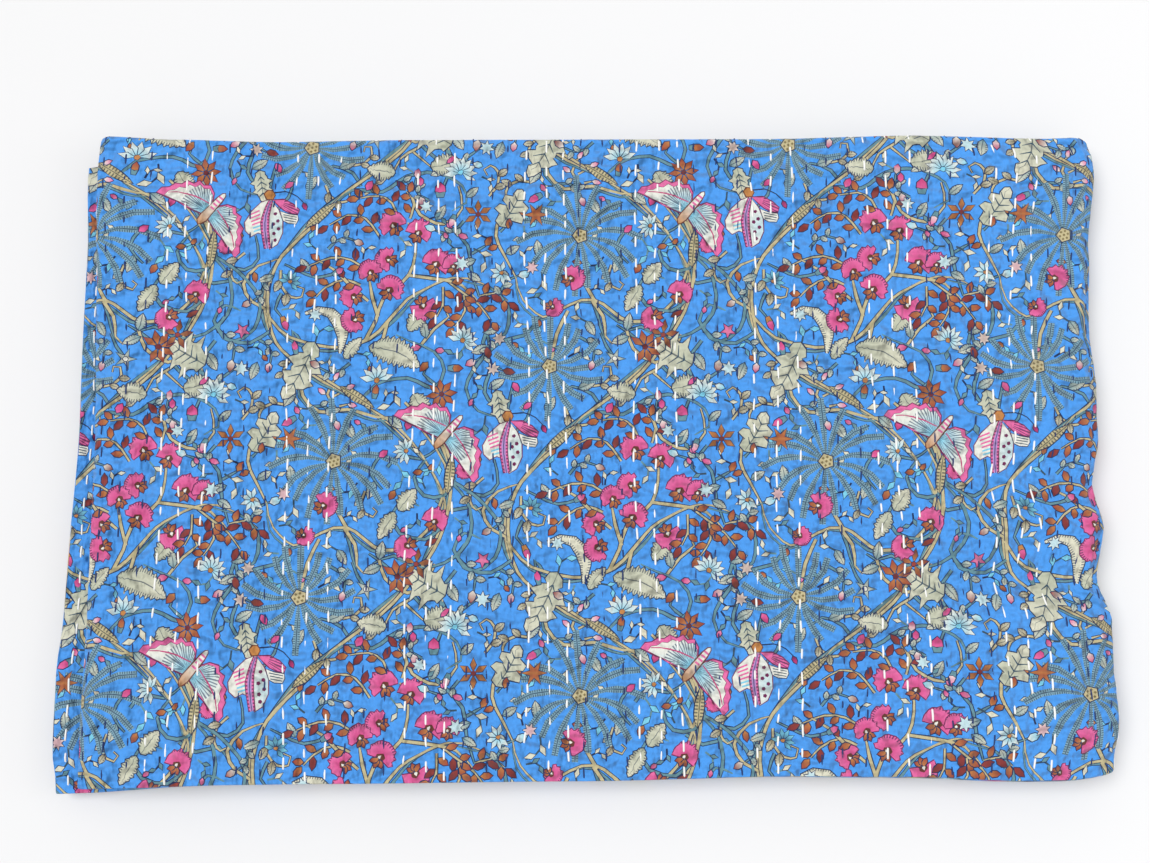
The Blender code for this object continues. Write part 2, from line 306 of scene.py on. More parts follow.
GROUND, EDGE, CREAM = ink(77, 158, 242), ink(28, 46, 88), ink(236, 236, 226)
TAN, TAN_DARK, OCHRE = ink(200, 188, 146), ink(130, 116, 78), ink(198, 134, 74)
TEAL, TEAL_DARK, FROND = ink(104, 148, 160), ink(52, 80, 100), ink(132, 172, 188)
PALE, PALE_DARK, CYAN = ink(224, 222, 200), ink(184, 190, 168), ink(126, 208, 234)
PINK, MAGENTA, PLUM = ink(232, 110, 168), ink(202, 62, 124), ink(112, 34, 84)
ROSE, LILAC, BROWN = ink(236, 148, 186), ink(184, 148, 208), ink(104, 54, 46)
RUSSET, BRICK = ink(154, 64, 56), ink(116, 46, 50)


def mix(a, b, t):
    """The colour a share t of the way from a to b."""
    t = min(1.0, max(0.0, t))
    return tuple(p + (q - p) * t for p, q in zip(a, b))


def glow(x, y, reach, middle, rim):
    """Colour that runs from the middle to the rim round (x, y)."""
    return lambda px, py: mix(middle, rim, hypot(px - x, py - y) / reach)


def spin(points, x, y, turn=0.0, size=1.0):
    """Points turned by degrees, sized and moved to (x, y)."""
    c, s = cos(radians(turn)) * size, sin(radians(turn)) * size
    return [(x + px * c - py * s, y + px * s + py * c) for px, py in points]


def ring(radius, sides, odd=1.0, x=0.0, y=0.0):
    """Points round (x, y); every second one stands at odd times the radius."""
    reach = [radius * (odd if k % 2 else 1.0) for k in range(sides)]
    return [(x + r * cos(k * tau / sides), y + r * sin(k * tau / sides)) for k, r in enumerate(reach)]


def heading(a, b):
    """The direction from a to b."""
    length = dist(a, b) or 1.0
    return (b[0] - a[0]) / length, (b[1] - a[1]) / length


def turned_area(points):
    """Twice the area of an outline, below 0 where it runs clockwise."""
    return sum(a[0] * b[1] - b[0] * a[1] for a, b in zip(points, points[1:] + points[:1]))


def grown(points, by):
    """The closed outline pushed outwards."""
    way = by if turned_area(points) > 0 else -by
    out = []
    for i, (x, y) in enumerate(points):
        dx, dy = heading(points[i - 1], points[(i + 1) % len(points)])
        out.append((x + way * dy, y - way * dx))
    return out


def draw(layer, points, colour, mark=None):
    """One flat shape; a mark gives its fine dark lines."""
    layers[layer].append((points, colour, mark))


def outlined(layer, points, colour, by=1.0, edge=EDGE, mark=None):
    """One flat shape with a dark outline."""
    draw(layer, grown(points, by), edge)
    draw(layer, points, colour, mark)


# ---------------------------------------------------------------- the vines of the print
# The long vine that winds down through the repeats, those that carry the blossoms and the
# palm fans, and their side shoots: thin brown and teal stems wound round each other.
def smooth(points, step):
    """A curve through the points, as a chain of points about a step apart."""
    chain = []
    full = [points[0]] + list(points) + [points[-1]]
    for p0, p1, p2, p3 in zip(full, full[1:], full[2:], full[3:]):
        count = max(1, round(dist(p1, p2) / step))
        for t in (k / count for k in range(count)):
            chain.append(tuple(
                0.5 * (2 * b + (c - a) * t + (2 * a - 5 * b + 4 * c - d) * t * t
                       + (3 * b - a - 3 * c + d) * t * t * t)
                for a, b, c, d in zip(p0, p1, p2, p3)))
    chain.append(points[-1])
    return chain


def strip_mark(a, b, wide, so_far, ticks, inner, rib):
    """Marks of a band from a to b: across (-1 to 1), ticks counted along, where the ticks
    start, half width of the rib."""
    dx, dy = heading(a, b)
    length = dist(a, b) or 1.0

    def mark(x, y):
        t = (x - a[0]) * dx + (y - a[1]) * dy
        half = wide[0] + (wide[1] - wide[0]) * min(1.0, max(0.0, t / length))
        return ((x - a[0]) * dy - (y - a[1]) * dx) / half, (so_far + t) * ticks, inner, rib
    return mark


def ribbon(layer, chain, widths, colour, ticks=0.0, inner=2.0, rib=0.0):
    """A band along a chain of points; widths are (start, middle, end) half widths. It may have
    ticks and a rib."""
    start, middle, end = widths
    last = len(chain) - 1
    sides, halves, so_far = [], [], 0.0
    for i, (x, y) in enumerate(chain):
        dx, dy = heading(chain[max(0, i - 1)], chain[min(last, i + 1)])
        t = 2 * i / last
        w = start + (middle - start) * t if t < 1 else middle + (end - middle) * (t - 1)
        sides.append(((x - dy * w, y + dx * w), (x + dy * w, y - dx * w)))
        halves.append(w)
    for i, ((a, b), (c, d)) in enumerate(zip(sides, sides[1:])):
        if (b[0] - a[0]) * (d[0] - c[0]) + (b[1] - a[1]) * (d[1] - c[1]) < 0:
            c, d = d, c
        mark = None
        if ticks or rib:
            mark = strip_mark(chain[i], chain[i + 1], halves[i:i + 2], so_far, ticks, inner, rib)
        so_far += dist(chain[i], chain[i + 1])
        draw(layer, [a, b, d, c], colour, mark)


def vine(half, colour, thin_start, thin_end, points):
    """A vine of two or three thin stems that wind round each other; a slight one is a single stem."""
    chain = smooth(points, 11.0)
    last = len(chain) - 1
    stems = [("under", TEAL, -1.0), ("vine", colour, 1.0)] if half > 2.1 else [("vine", colour, 0.0)]
    if half > 3.3:
        stems.insert(1, ("under", TAN, 0.0))
    for layer, tone, way in stems:
        moved = []
        for i, (x, y) in enumerate(chain):
            dx, dy = heading(chain[max(0, i - 1)], chain[min(last, i + 1)])
            off = way * (0.48 + 0.42 * sin(i * 0.7 + points[0][0])) + 0.2 * sin(i * 0.4)
            off *= half * min(1.0, i / 2, (last - i) / 2)
            moved.append((x - dy * off, y + dx * off))
        w = 1.5 if layer == "vine" else 1.2
        for name, wide, shade in ((layer + "_edge", w + 0.8, EDGE), (layer, w, tone)):
            ribbon(name, moved, (wide * thin_start, wide, wide * thin_end), shade)


# (half width, ink, thinning at the start and at the end, points)
for row in (
    (3.6, TAN, 0.8, 0.5, [(168, 262), (200, 226), (214, 186), (208, 146), (180, 92), (128, 42), (88, 8),
        (58, -22), (36, -52), (27, -88), (40, -130), (78, -164), (124, -190), (166, -222), (194, -256),
        (206, -290), (196, -322)]),
    (2.8, TAN, 0.7, 0.4, [(29, -100), (52, -126), (92, -137), (132, -126), (158, -102), (178, -82),
        (214, -66), (250, -74)]),
    (2.7, TAN, 0.4, 0.5, [(276, -64), (281, -88), (303, -106), (330, -92), (354, -88), (388, -110),
        (424, -98), (444, -72), (452, -36), (438, -8), (424, 10)]),
    (2.0, TEAL, 0.6, 0.4, [(430, -20), (418, -38), (428, -56), (448, -56), (458, -40), (450, -24)]),
    (2.0, TAN, 0.8, 0.3, [(28, -96), (14, -88), (6, -70), (20, -52), (42, -44)]),
    (2.0, TAN, 1.0, 0.4, [(150, -108), (144, -132), (140, -150)]),
    (2.2, TAN, 0.9, 0.3, [(64, -160), (66, -184), (84, -200), (112, -198), (140, -206), (168, -204)]),
    (2.0, TEAL, 0.7, 0.4, [(124, -190), (140, -172), (170, -166), (196, -176), (206, -158), (196, -140),
        (170, -128), (158, -122)]),
    (2.6, TAN, 1.0, 0.3, [(352, -88), (360, -104), (364, -124), (372, -132)]),
    (2.0, TEAL, 0.6, 0.4, [(452, -40), (470, -62), (474, -92), (458, -116), (430, -126), (404, -118)]),
    (2.0, TEAL, 0.6, 0.4, [(250, -74), (268, -92), (266, -120), (246, -136)]),
    (2.0, TEAL, 0.8, 0.4, [(216, 184), (240, 168), (262, 140), (258, 110), (236, 96), (222, 108),
        (228, 124)]),
    (2.0, TEAL, 0.8, 0.4, [(92, 10), (112, 26), (142, 24), (166, 40), (196, 44), (222, 30), (226, 12),
        (212, 4)]),
    (2.0, TEAL, 0.8, 0.4, [(206, 140), (190, 128), (166, 134), (158, 152), (170, 166), (184, 160)]),
    (2.0, TEAL, 0.8, 0.4, [(34, -118), (14, -130), (-8, -126), (-22, -108), (-12, -92), (4, -98)]),
    (2.0, TAN, 0.8, 0.4, [(384, -108), (392, -136), (414, -150), (438, -142), (448, -158)]),
    (2.0, TEAL, 0.8, 0.4, [(300, -104), (286, -122), (262, -128), (240, -150), (228, -176), (240, -198),
        (262, -204)]),
    (2.0, TAN, 0.9, 1.0, [(340, -26), (337, -52), (347, -76), (356, -90)]),
    (2.0, TAN, 0.9, 0.9, [(312, -148), (317, -122), (328, -98)]),
    (2.1, TAN, 1.0, 0.5, [(128, -128), (138, -108), (146, -84), (170, -62), (176, -30), (168, -8)]),
    (1.9, TAN, 1.0, 0.4, [(140, -104), (134, -84), (130, -62)]),
    (2.0, TAN, 0.9, 0.3, [(168, -62), (196, -66), (222, -72), (240, -90)]),
    (1.6, TAN, 0.8, 0.3, [(130, -88), (112, -72), (96, -56), (74, -44)]),
):
    vine(*row)

# ---------------------------------------------------------------- the palm fans of the print
# Two fans of bent feathery fronds, dark at the rib and ticked along both edges, each round
# a tan knot.
def palm(x, y, reach, fronds, turn, lean):
    """One fan: its fronds by turns, and the knot with seven dark dots."""
    for k in range(fronds):
        a = turn + 360.0 * (k + 0.15 * sin(k * 2.3)) / fronds
        long = reach * (0.93 + 0.09 * sin(k * 1.7 + x))
        droop = lean * cos(radians(a)) * 0.9
        spine = [(6, 0), (long * 0.4, droop * 3), (long * 0.75, -droop * 1.5), (long, -droop * 13)]
        ribbon("fan", smooth(spin(spine, x, y, a), 13.0), (1.2, 3.4, 3.0), FROND, 0.46, 0.3, 0.18)
    outlined("fan", ring(6.08, 10, 1.25, x, y), TAN, 1.1)
    for dot_x, dot_y in spin(ring(4.2, 6), x, y, degrees(0.3)) + [(x, y)]:
        draw("fan", ring(1.5, 4, 1.0, dot_x, dot_y), TAN_DARK)


palm(340, -22, 62, 17, 8, 0.9)
palm(310, -154, 54, 16, 20, -0.8)

# ---------------------------------------------------------------- the blossom spray of the print
# Pink flowers seen from the side, ragged fans on russet cups, among twigs of russet buds
# on thin pointed stems.
def stem(points, half, colour=TEAL, step=10.0):
    """A thin stem that ends in a point."""
    chain = smooth(points, step)
    half = 0.55 + 0.4 * half
    ribbon("thin_edge", chain, (half + 0.8, half + 0.85, half * 0.5 + 0.7), EDGE)
    ribbon("thin", chain, (half, half, half * 0.4), colour)


def bud(x, y, length, width, turn, colour=RUSSET, tip=OCHRE, cup=None, layer="flower"):
    """A pointed bud from (x, y), with or without a cup at its foot."""
    side = [(0, 0), (length * 0.3, width * 0.46), (length * 0.68, width * 0.42), (length, 0)]
    points = side + [(px, -py) for px, py in side[2:0:-1]]
    outlined(layer, spin(points, x, y, turn), glow(x, y, length, tip, colour))
    if cup:
        side = [(-2, -width * 0.3), (length * 0.3, -width * 0.45)]
        points = side + [(length * 0.16, 0)] + [(px, -py) for px, py in side[::-1]]
        outlined(layer, spin(points, x, y, turn), cup, 0.8)


def bud_twig(count, points):
    """A curved twig with pointed buds on both sides and one at its end."""
    chain = smooth(points, 5.0)
    stem(points, 0.9, TAN, 9.0)
    for k in range(count):
        i = round((k + 1) / count * (len(chain) - 1))
        dx, dy = heading(chain[max(0, i - 1)], chain[i])
        way = degrees(atan2(dy, dx)) + (0 if k == count - 1 else (52, -52)[k % 2])
        tones = (BRICK, RUSSET) if k % 3 == 1 else (RUSSET, OCHRE)
        bud(*spin([(2.0, 0)], *chain[i], way)[0], 11.6 + 1.6 * sin(k * 2.1), 6.4, way, *tones)


def fan_of(layer, root, rim, colour, inner, rays, edge, by, inward=False):
    """A shape drawn as wedges round its root, with fine rays towards its rim, or near the root only."""
    draw(layer, grown([root] + rim, by), edge)
    reach = max(dist(root, p) for p in rim)
    for p, q in zip(rim, rim[1:]):
        a, b = (atan2(y - root[1], x - root[0]) for x, y in (p, q))
        b = a + (b - a + pi) % tau - pi

        def mark(x, y, a=a, b=b):
            far = dist((x, y), root)
            at = (a + b) / 2
            if far > 0.3:
                at = a + (atan2(y - root[1], x - root[0]) - a + pi) % tau - pi
            return 1 - far / reach if inward else far / reach, at * rays, inner, 0.0
        draw(layer, [root, p, q], colour, mark)


def blossom(x, y, radius, turn):
    """A pink flower seen from the side: a ragged fan on a russet cup."""
    radius *= 0.77
    rim = []
    for k in range(17):
        a = radians(-102 + 204 * k / 16)
        r = (0.91 if k % 2 == 0 else 1.0) * (1 - 0.2 * abs(sin(a)) ** 3) * (1 + 0.07 * sin(k * 2.7 + x))
        rim.append((r * cos(a), r * sin(a)))

    def put(points):
        return spin(points, x, y, turn, radius)
    middle = glow(*put([(0.1, 0)])[0], radius * 0.62, MAGENTA, PINK)
    fan_of("flower", (x, y), put(rim), middle, 0.8, 5.4, PLUM, 1.0)
    draw("flower", put([(-0.2, -0.2), (0.16, -0.28), (0.32, -0.04), (0.12, 0.26), (-0.2, 0.2)]), BROWN)
    draw("flower", put([(0.2, 0.02), (0.04, 0.14), (-0.12, 0.02), (0.04, -0.1)]), CREAM)
    for way in (-130, 180, 130):
        bud(*put([(-0.08, 0)])[0], radius * 0.52, radius * 0.3, turn + way)


for x, y, radius, turn in (
    (154, -12, 22, 118), (178, -20, 21, 62), (150, -46, 19, 168), (132, -60, 19, 112), (150, -78, 22, 58),
    (196, -52, 23, 62), (214, -54, 18, 84), (116, -84, 19, 150), (118, -106, 20, 208), (184, -92, 21, 290),
):
    blossom(x, y, radius, turn)
# (number of buds, points of the twig)
for count, points in (
    (8, [(130, -58), (112, -46), (92, -44), (70, -52)]),
    (7, [(122, -72), (106, -66), (88, -74), (78, -84)]), (8, [(140, -22), (126, -4), (108, 0), (90, -10)]),
    (7, [(158, -4), (152, 12), (138, 20), (120, 18)]), (5, [(170, -4), (174, 12), (166, 24)]),
    (9, [(208, -68), (224, -80), (240, -92), (252, -108)]), (7, [(224, -80), (226, -98), (216, -114)]),
    (5, [(240, -84), (256, -80), (268, -88)]), (5, [(204, -74), (204, -92), (198, -104)]),
):
    bud_twig(count, points)

# ---------------------------------------------------------------- the leaves of the print
# Pale leaves with a mid rib: long ones with teeth or lobes, leaf-like knots on the long
# vine, a ticked crescent, and many small plain leaves in the ground.
def leaf_shape(length, width, teeth=0, bend=0.0, lobes=0.0):
    """A leaf from (0, 0) along +x: a pointed oval with teeth or lobes."""
    count = teeth * 2 if teeth else 4 if length < 24 else 6
    upper, lower = [], []
    for i in range(count + 1):
        t = i / count
        w = width * sin(pi * t ** 0.85) ** 0.8 if 0 < t < 1 else 0.0
        w *= 1.0 + (0.2 if i % 2 else -0.12) * (1 if teeth else 0) + lobes * sin(t * pi * 7)
        y = bend * sin(pi * t)
        upper.append((length * t, y + w))
        lower.append((length * t, y - w))
    return upper + lower[-2:0:-1]


def leaf(x, y, length, width, turn, teeth=0, bend=0.0, lobes=0.0, shade=PALE_DARK, layer="leaf"):
    """A pale leaf with a mid rib, and short dark ticks along its margin or veins into its lobes."""
    points = spin(leaf_shape(length, width, teeth, bend, lobes), x, y, turn)
    large = length > 24

    def mark(px, py):
        lx, ly = spin([(px - x, py - y)], 0, 0, -turn)[0]
        t = min(0.97, max(0.03, lx / length))
        half = max(0.6, width * sin(pi * t ** 0.85) ** 0.8)
        return (ly - bend * sin(pi * t)) / half, lx * 0.42, 2.0 if lobes else 0.72, 0.05 if large else 0.1
    outlined(layer, points, glow(x, y, length * 1.1, shade, PALE), 1.1 if large else 0.9, EDGE, mark)
    for t in (0.2, 0.37, 0.54, 0.71) if lobes else ():
        for way in (-width, width):
            tip = (length * (t + 0.12), bend + way * 0.72 * sin(pi * t))
            vein = spin([(length * t, bend * sin(pi * t)), tip], x, y, turn)
            ribbon(layer, vein, (0.7, 0.5, 0.3), TEAL_DARK)


for x, y, turn in ((66, -12, 40), (104, -174, -32), (211, 172, 84)):
    mark = strip_mark((x, y), *spin([(40, 0)], x, y, turn), (4, 4), 0.0, 0.3, 0.3, 0.12)
    outlined("leaf", spin(leaf_shape(40, 4.6), x, y, turn), TAN, 1.0, EDGE, mark)

# large leaves: (x, y, length, width, turn, teeth, bend, lobes)
for row in (
    (78, -130, 64, 13, -118, 9, 3.0, 0.34), (20, -238, 44, 12, 60, 8, -2.0, 0.36),
    (132, -134, 54, 12.5, -22, 10, 5.0), (170, -118, 34, 8, 46, 7, 2.0), (108, -146, 26, 6, 52, 6, 1.0),
    (176, -182, 26, 9, -56, 7), (394, -182, 28, 9, 170, 8), (430, -176, 32, 10, 10, 8),
    (404, -70, 26, 8, 52, 6), (400, -72, 30, 7, -120, 6), (-30, -152, 42, 16, 150, 7, 0.0, 0.4),
    (258, -178, 34, 8, -80, 7, 0.0, 0.25),
):
    leaf(*row)
crescent = smooth([(68, -101), (80, -97), (93, -100), (102, -110), (105, -124), (103, -141)], 9)
ribbon("leaf", crescent, (2.2, 8.6, 1.9), EDGE)
ribbon("leaf", crescent, (1.2, 7.6, 0.9), PALE, 0.42, 0.5)
for x, y, turn, size in (
    (236, -46, 200, 12), (228, -60, 330, 12), (244, -120, 20, 14), (250, -134, 200, 14),
    (250, -176, 30, 14), (-28, -140, 300, 16), (-34, -176, 210, 14), (70, -58, 120, 12),
    (-44, -232, 60, 14), (380, -42, 250, 14), (388, -124, 200, 14), (36, -62, 200, 12),
    (420, -146, 100, 14), (98, 50, 20, 14), (146, 108, 80, 14), (22, -150, 250, 14), (152, -204, 320, 14),
    (188, -126, 100, 14), (300, -44, 100, 14), (266, -40, 30, 12), (60, -176, 240, 16),
    (110, -210, 300, 14), (-14, -208, 40, 12), (66, 26, 60, 14), (206, -202, 120, 14), (346, -108, 300, 13),
):
    leaf(x, y, size * 1.3, size * 0.32, turn, shade=TEAL, layer="shade")

# ---------------------------------------------------------------- the small flowers of the print
# Stars, daisies, half daisies and buds that fill the ground between the vines, and the
# stems that carry them.
def star(x, y, radius, rays, inner, turn, colour, middle, eye=None):
    """A small flower with pointed rays."""
    radius *= 0.72
    points = spin(ring(radius, rays * 2, inner), x, y, turn)
    outlined("flower", points, glow(x, y, radius * 0.95, middle, colour), 1.1)
    if eye:
        outlined("flower", ring(radius * 0.22, 6, 1.0, x, y), eye, 0.8)


def daisy(x, y, radius, petals, turn, rim, middle, spread=360.0, eye=OCHRE):
    """Pointed petals round a point, or over part of the circle only."""
    radius *= 0.74
    for k in range(petals):
        a = turn + spread * (k / petals if spread == 360.0 else k / (petals - 1) - 0.5)
        petal = spin([(0.12, 0), (0.58, 0.2), (1.04, 0), (0.58, -0.2)], x, y, a, radius)
        outlined("flower", petal, glow(x, y, radius, middle, rim), 0.8)
    outlined("flower", ring(radius * 0.17, 5, 1.0, x, y), eye, 0.7)


daisy(224, -128, 20, 9, 60, CREAM, CYAN, 210.0)
daisy(140, -168, 22, 6, 95, CREAM, CYAN, 150.0)
daisy(410, -12, 17, 8, 170, CREAM, CYAN, 210.0)
daisy(460, -182, 22, 9, 80, CREAM, CYAN, 220.0, CYAN)
daisy(52, -68, 15, 7, 60, CYAN, EDGE, 220.0)
daisy(262, -60, 16, 7, 200, CREAM, CYAN, 240.0)
daisy(204, -182, 20, 8, 8, RUSSET, OCHRE, 360.0, BRICK)
daisy(238, 0, 19, 6, 30, OCHRE, BRICK, 360.0, BRICK)
daisy(404, -134, 22, 7, 15, RUSSET, OCHRE, 260.0, BRICK)
star(56, -226, 17, 6, 0.36, 0, OCHRE, RUSSET)
star(374, -146, 15, 5, 0.3, 70, TEAL, PALE, CREAM)
daisy(-58, -122, 20, 5, 10, BRICK, OCHRE, 360.0, RUSSET)
star(6, -118, 11, 5, 0.4, 50, MAGENTA, ROSE)
for row in (
    (-12, -30, 13, 240), (330, -66, 20, 20), (312, -94, 15, 330), (-42, -82, 20, 60), (-66, -104, 19, 215),
):
    blossom(*row)
# buds: the ink of the tip comes first, then that of the foot and of a cup
for x, y, length, width, turn, *tones in (
    (96, -60, 12, 8, 30, MAGENTA, ROSE, TEAL), (46, -106, 15, 8, 292, MAGENTA, PINK, OCHRE),
    (60, -140, 14, 7, 100, MAGENTA, PINK, TEAL), (214, -2, 14, 8, 250, PINK, CREAM, TEAL),
    (246, -32, 13, 8, 60, RUSSET, OCHRE), (228, -24, 12, 7, 160, MAGENTA, ROSE),
    (174, -206, 14, 9, 250, MAGENTA, PINK, TEAL), (268, -14, 12, 7, 80, RUSSET, OCHRE),
    (258, -32, 12, 7, 200, RUSSET, OCHRE), (274, -170, 13, 8, 300, MAGENTA, PINK),
    (292, -190, 12, 7, 220, MAGENTA, PINK), (458, -6, 12, 8, 10, PINK, MAGENTA),
    (138, -184, 14, 8, 80, RUSSET, OCHRE, TEAL), (98, -168, 11, 6, 60, PINK, CREAM),
    (110, -176, 11, 6, 20, PINK, CREAM), (112, -192, 11, 6, 350, PINK, CREAM),
    (90, -182, 11, 6, 140, PINK, CREAM), (366, -200, 13, 9, 60, MAGENTA, PINK),
    (430, -104, 16, 7, 28, RUSSET, BROWN), (-34, -172, 13, 6, 40, MAGENTA, PINK),
    (-14, -18, 11, 7, 70, RUSSET, OCHRE), (2, -24, 11, 7, 110, RUSSET, OCHRE),
    (16, -58, 13, 7, 280, RUSSET, OCHRE), (190, -150, 14, 9, 230, RUSSET, OCHRE),
    (212, -156, 15, 9, 0, RUSSET, OCHRE, TEAL), (250, -146, 14, 8, 100, RUSSET, BROWN),
    (264, -158, 14, 8, 350, RUSSET, BROWN), (-60, -196, 11, 8, 90, MAGENTA, PINK),
    (-40, -206, 16, 14, 90, MAGENTA, PINK, TEAL), (60, -206, 16, 9, 210, PINK, MAGENTA, TEAL),
    (384, -18, 12, 8, 40, MAGENTA, PINK),
):
    bud(x, y, 0.84 * length, 0.8 * width, turn, *tones)
# (points, half width, ink)
for row in (
    ([(212, -14), (228, -32), (232, -58), (240, -84)], 1.7), ([(232, -40), (246, -32)], 1.2),
    ([(262, 6), (256, -22), (268, -48), (276, -64)], 1.9, TAN), ([(260, -18), (266, -12)], 1.2),
    ([(96, -60), (78, -64), (58, -56), (46, -50)], 1.3), ([(44, -80), (38, -96), (46, -106)], 1.2),
    ([(66, -132), (56, -118), (60, -140)], 1.2),
    ([(100, -196), (92, -182), (96, -170), (108, -160)], 1.3, TAN), ([(98, -184), (110, -178)], 1.1, TAN),
    ([(104, -194), (112, -192)], 1.1, TAN), ([(182, -134), (196, -116), (210, -104), (204, -92)], 1.6, TAN),
    ([(206, -178), (186, -162), (190, -150)], 1.2),
    ([(252, -110), (244, -130), (252, -152), (246, -180), (262, -200), (274, -222)], 2.0),
    ([(252, -152), (264, -158)], 1.2), ([(274, -222), (288, -206), (292, -190)], 1.2),
    ([(268, -200), (274, -170)], 1.2), ([(-20, -128), (-34, -150), (-32, -184), (-44, -206)], 1.8),
    ([(-10, -52), (6, -56), (20, -44), (16, -20)], 1.6),
    ([(-40, -60), (-24, -70), (-2, -66), (8, -80)], 1.8),
    ([(-62, -150), (-46, -166), (-20, -170), (0, -156), (24, -158)], 1.8),
    ([(-68, -208), (-60, -226), (-36, -236), (-18, -220), (-22, -196)], 1.9, TAN),
    ([(404, -134), (388, -120), (376, -112)], 1.5), ([(374, -146), (366, -134), (360, -120)], 1.4),
    ([(440, -122), (424, -150), (400, -166), (392, -184)], 1.7, TAN),
    ([(412, -160), (430, -176)], 1.2, TAN), ([(444, -152), (460, -182)], 1.6),
    ([(392, -28), (404, -16), (424, -20), (440, -10)], 1.5), ([(384, -18), (376, -34), (388, -50)], 1.3),
    ([(120, 30), (112, 44), (92, 52), (80, 44)], 1.5), ([(180, 100), (160, 112), (140, 104)], 1.5),
):
    stem(*row)

# ---------------------------------------------------------------- the butterflies of the print
# Two in each repeat, side by side: one open, with long pale wings, and one resting, seen
# from the side.
def butterfly(x, y, turn, size):
    """An open butterfly, mirrored about its body: long pale wings with a pink rim and fine rays."""
    def put(points, way=1):
        return spin([(px, py * way) for px, py in points], x, y, turn, size)
    wing = [
        (-5, 5), (-9, 18), (-11, 32), (-15, 46), (-17, 57), (-10, 57), (-5, 52), (2, 50), (6, 44), (13, 42),
        (15, 34), (22, 31), (21, 24), (26, 19), (22, 10), (13, 4),
    ]
    inner = [(1 + (px - 1) * 0.86, 4 + (py - 4) * 0.86) for px, py in wing]
    for way in (1, -1):
        outlined("wing", put(wing, way), PINK, 1.0, PLUM)
        root = put([(1, 4)], way)[0]
        pale = glow(*root, 30 * size, CYAN, CREAM)
        fan_of("wing", root, put(inner, way), pale, 0.4, 8.0, PLUM, 0.5, True)
        fold = smooth(put([(10, 6), (6, 22), (-1, 38), (-10, 49)], way), 14)
        ribbon("wing", fold, (0.5, 0.7, 0.4), MAGENTA)
    side = [(-16, 0), (-13, 3.2), (-6, 4.4), (2, 3.8), (10, 3.9), (20, 3.5), (28, 1.8), (30, 0)]
    body = side + [(px, -py) for px, py in side[-2:0:-1]]
    outlined("wing", put(body), glow(*put([(-14, 0)])[0], 28 * size, OCHRE, CREAM), 1.0, BROWN)
    for px in (7, 12, 17, 22):
        draw("wing", put([(px, 3.0), (px + 2.2, 2.8), (px + 2.2, -2.8), (px, -3.0)]), PINK)


def moth(x, y, turn, size):
    """A resting moth seen from the side: a striped fore wing, a spotted hind wing and a pink crest."""
    def put(points):
        return spin(points, x, y, turn, size)
    back = [
        (4, -4), (-8, -10), (-19, -22), (-22, -30), (-25, -36), (-23, -46), (-16, -52), (-8, -47), (0, -50),
        (4, -30),
    ]
    outlined("wing", put(back), CREAM, 1.0, PLUM)
    for k in range(6):
        low, high = -21 + 1.5 * k, -9 + k
        bar = [(low, -25 - 4 * k), (high, -19 - 4.5 * k), (high + 0.5, -21 - 4.5 * k), (low, -27 - 4 * k)]
        draw("wing", put(bar), PINK if k < 4 else CYAN)
    spotted = [(4, -6), (14, -18), (20, -32), (21, -46), (16, -60), (8, -66), (2, -56), (2, -30)]
    pale = glow(*put([(18, -40)])[0], 26 * size, mix(CREAM, CYAN, 0.5), CREAM)
    outlined("wing", put(spotted), pale, 1.0, PLUM)
    for px, py in ((10, -22), (14, -31), (9, -35), (16, -41), (11, -47), (13, -55)):
        draw("wing", put(ring(2.5, 5, 1.0, px, py)), PLUM)
    spine = smooth(put([(3, -6), (-1, -26), (0, -44), (5, -66)]), 10)
    for start, middle, end, *look in (
        (2.6, 5.6, 4.2, PLUM), (2.0, 4.6, 3.2, PINK, 0.3, 0.55), (0.8, 2.4, 1.6, LILAC, 0.0, 2.0, 0.3),
    ):
        ribbon("wing", spine, (start * size, middle * size, end * size), *look)
    crest = [(18, -4), (30, -9), (38, -16), (37, -21), (28, -20), (20, -17), (12, -11)]
    fan_of("wing", put([(5, -5)])[0], put(crest), PINK, 0.4, 9.0, PLUM, 1.0)
    tail = [(16, -19), (26, -22), (37, -23), (38, -28), (36, -33), (27, -33), (20, -30)]
    outlined("wing", put(tail), CREAM, 0.9)
    for k in range(3):
        vein = put([(20 + k, -23 - 3.2 * k), (36, -25 - 3.0 * k)])
        ribbon("wing", vein, (0.5, 0.6, 0.4), TEAL_DARK)
    outlined("wing", put([(-5, 1), (-2, 6), (4, 6), (7, 1), (5, -4), (-2, -5)]), OCHRE, 1.0, BROWN)
    ribbon("wing", smooth(put([(6, 4), (20, 6), (34, 1), (44, -8)]), 8), (0.7, 0.6, 0.5), EDGE)
    bud(*put([(42, -7)])[0], 10 * size, 5 * size, turn - 60, MAGENTA, PLUM, layer="wing")


butterfly(-33, 2, 50, 0.9)
moth(28, 22, -4, 0.84)

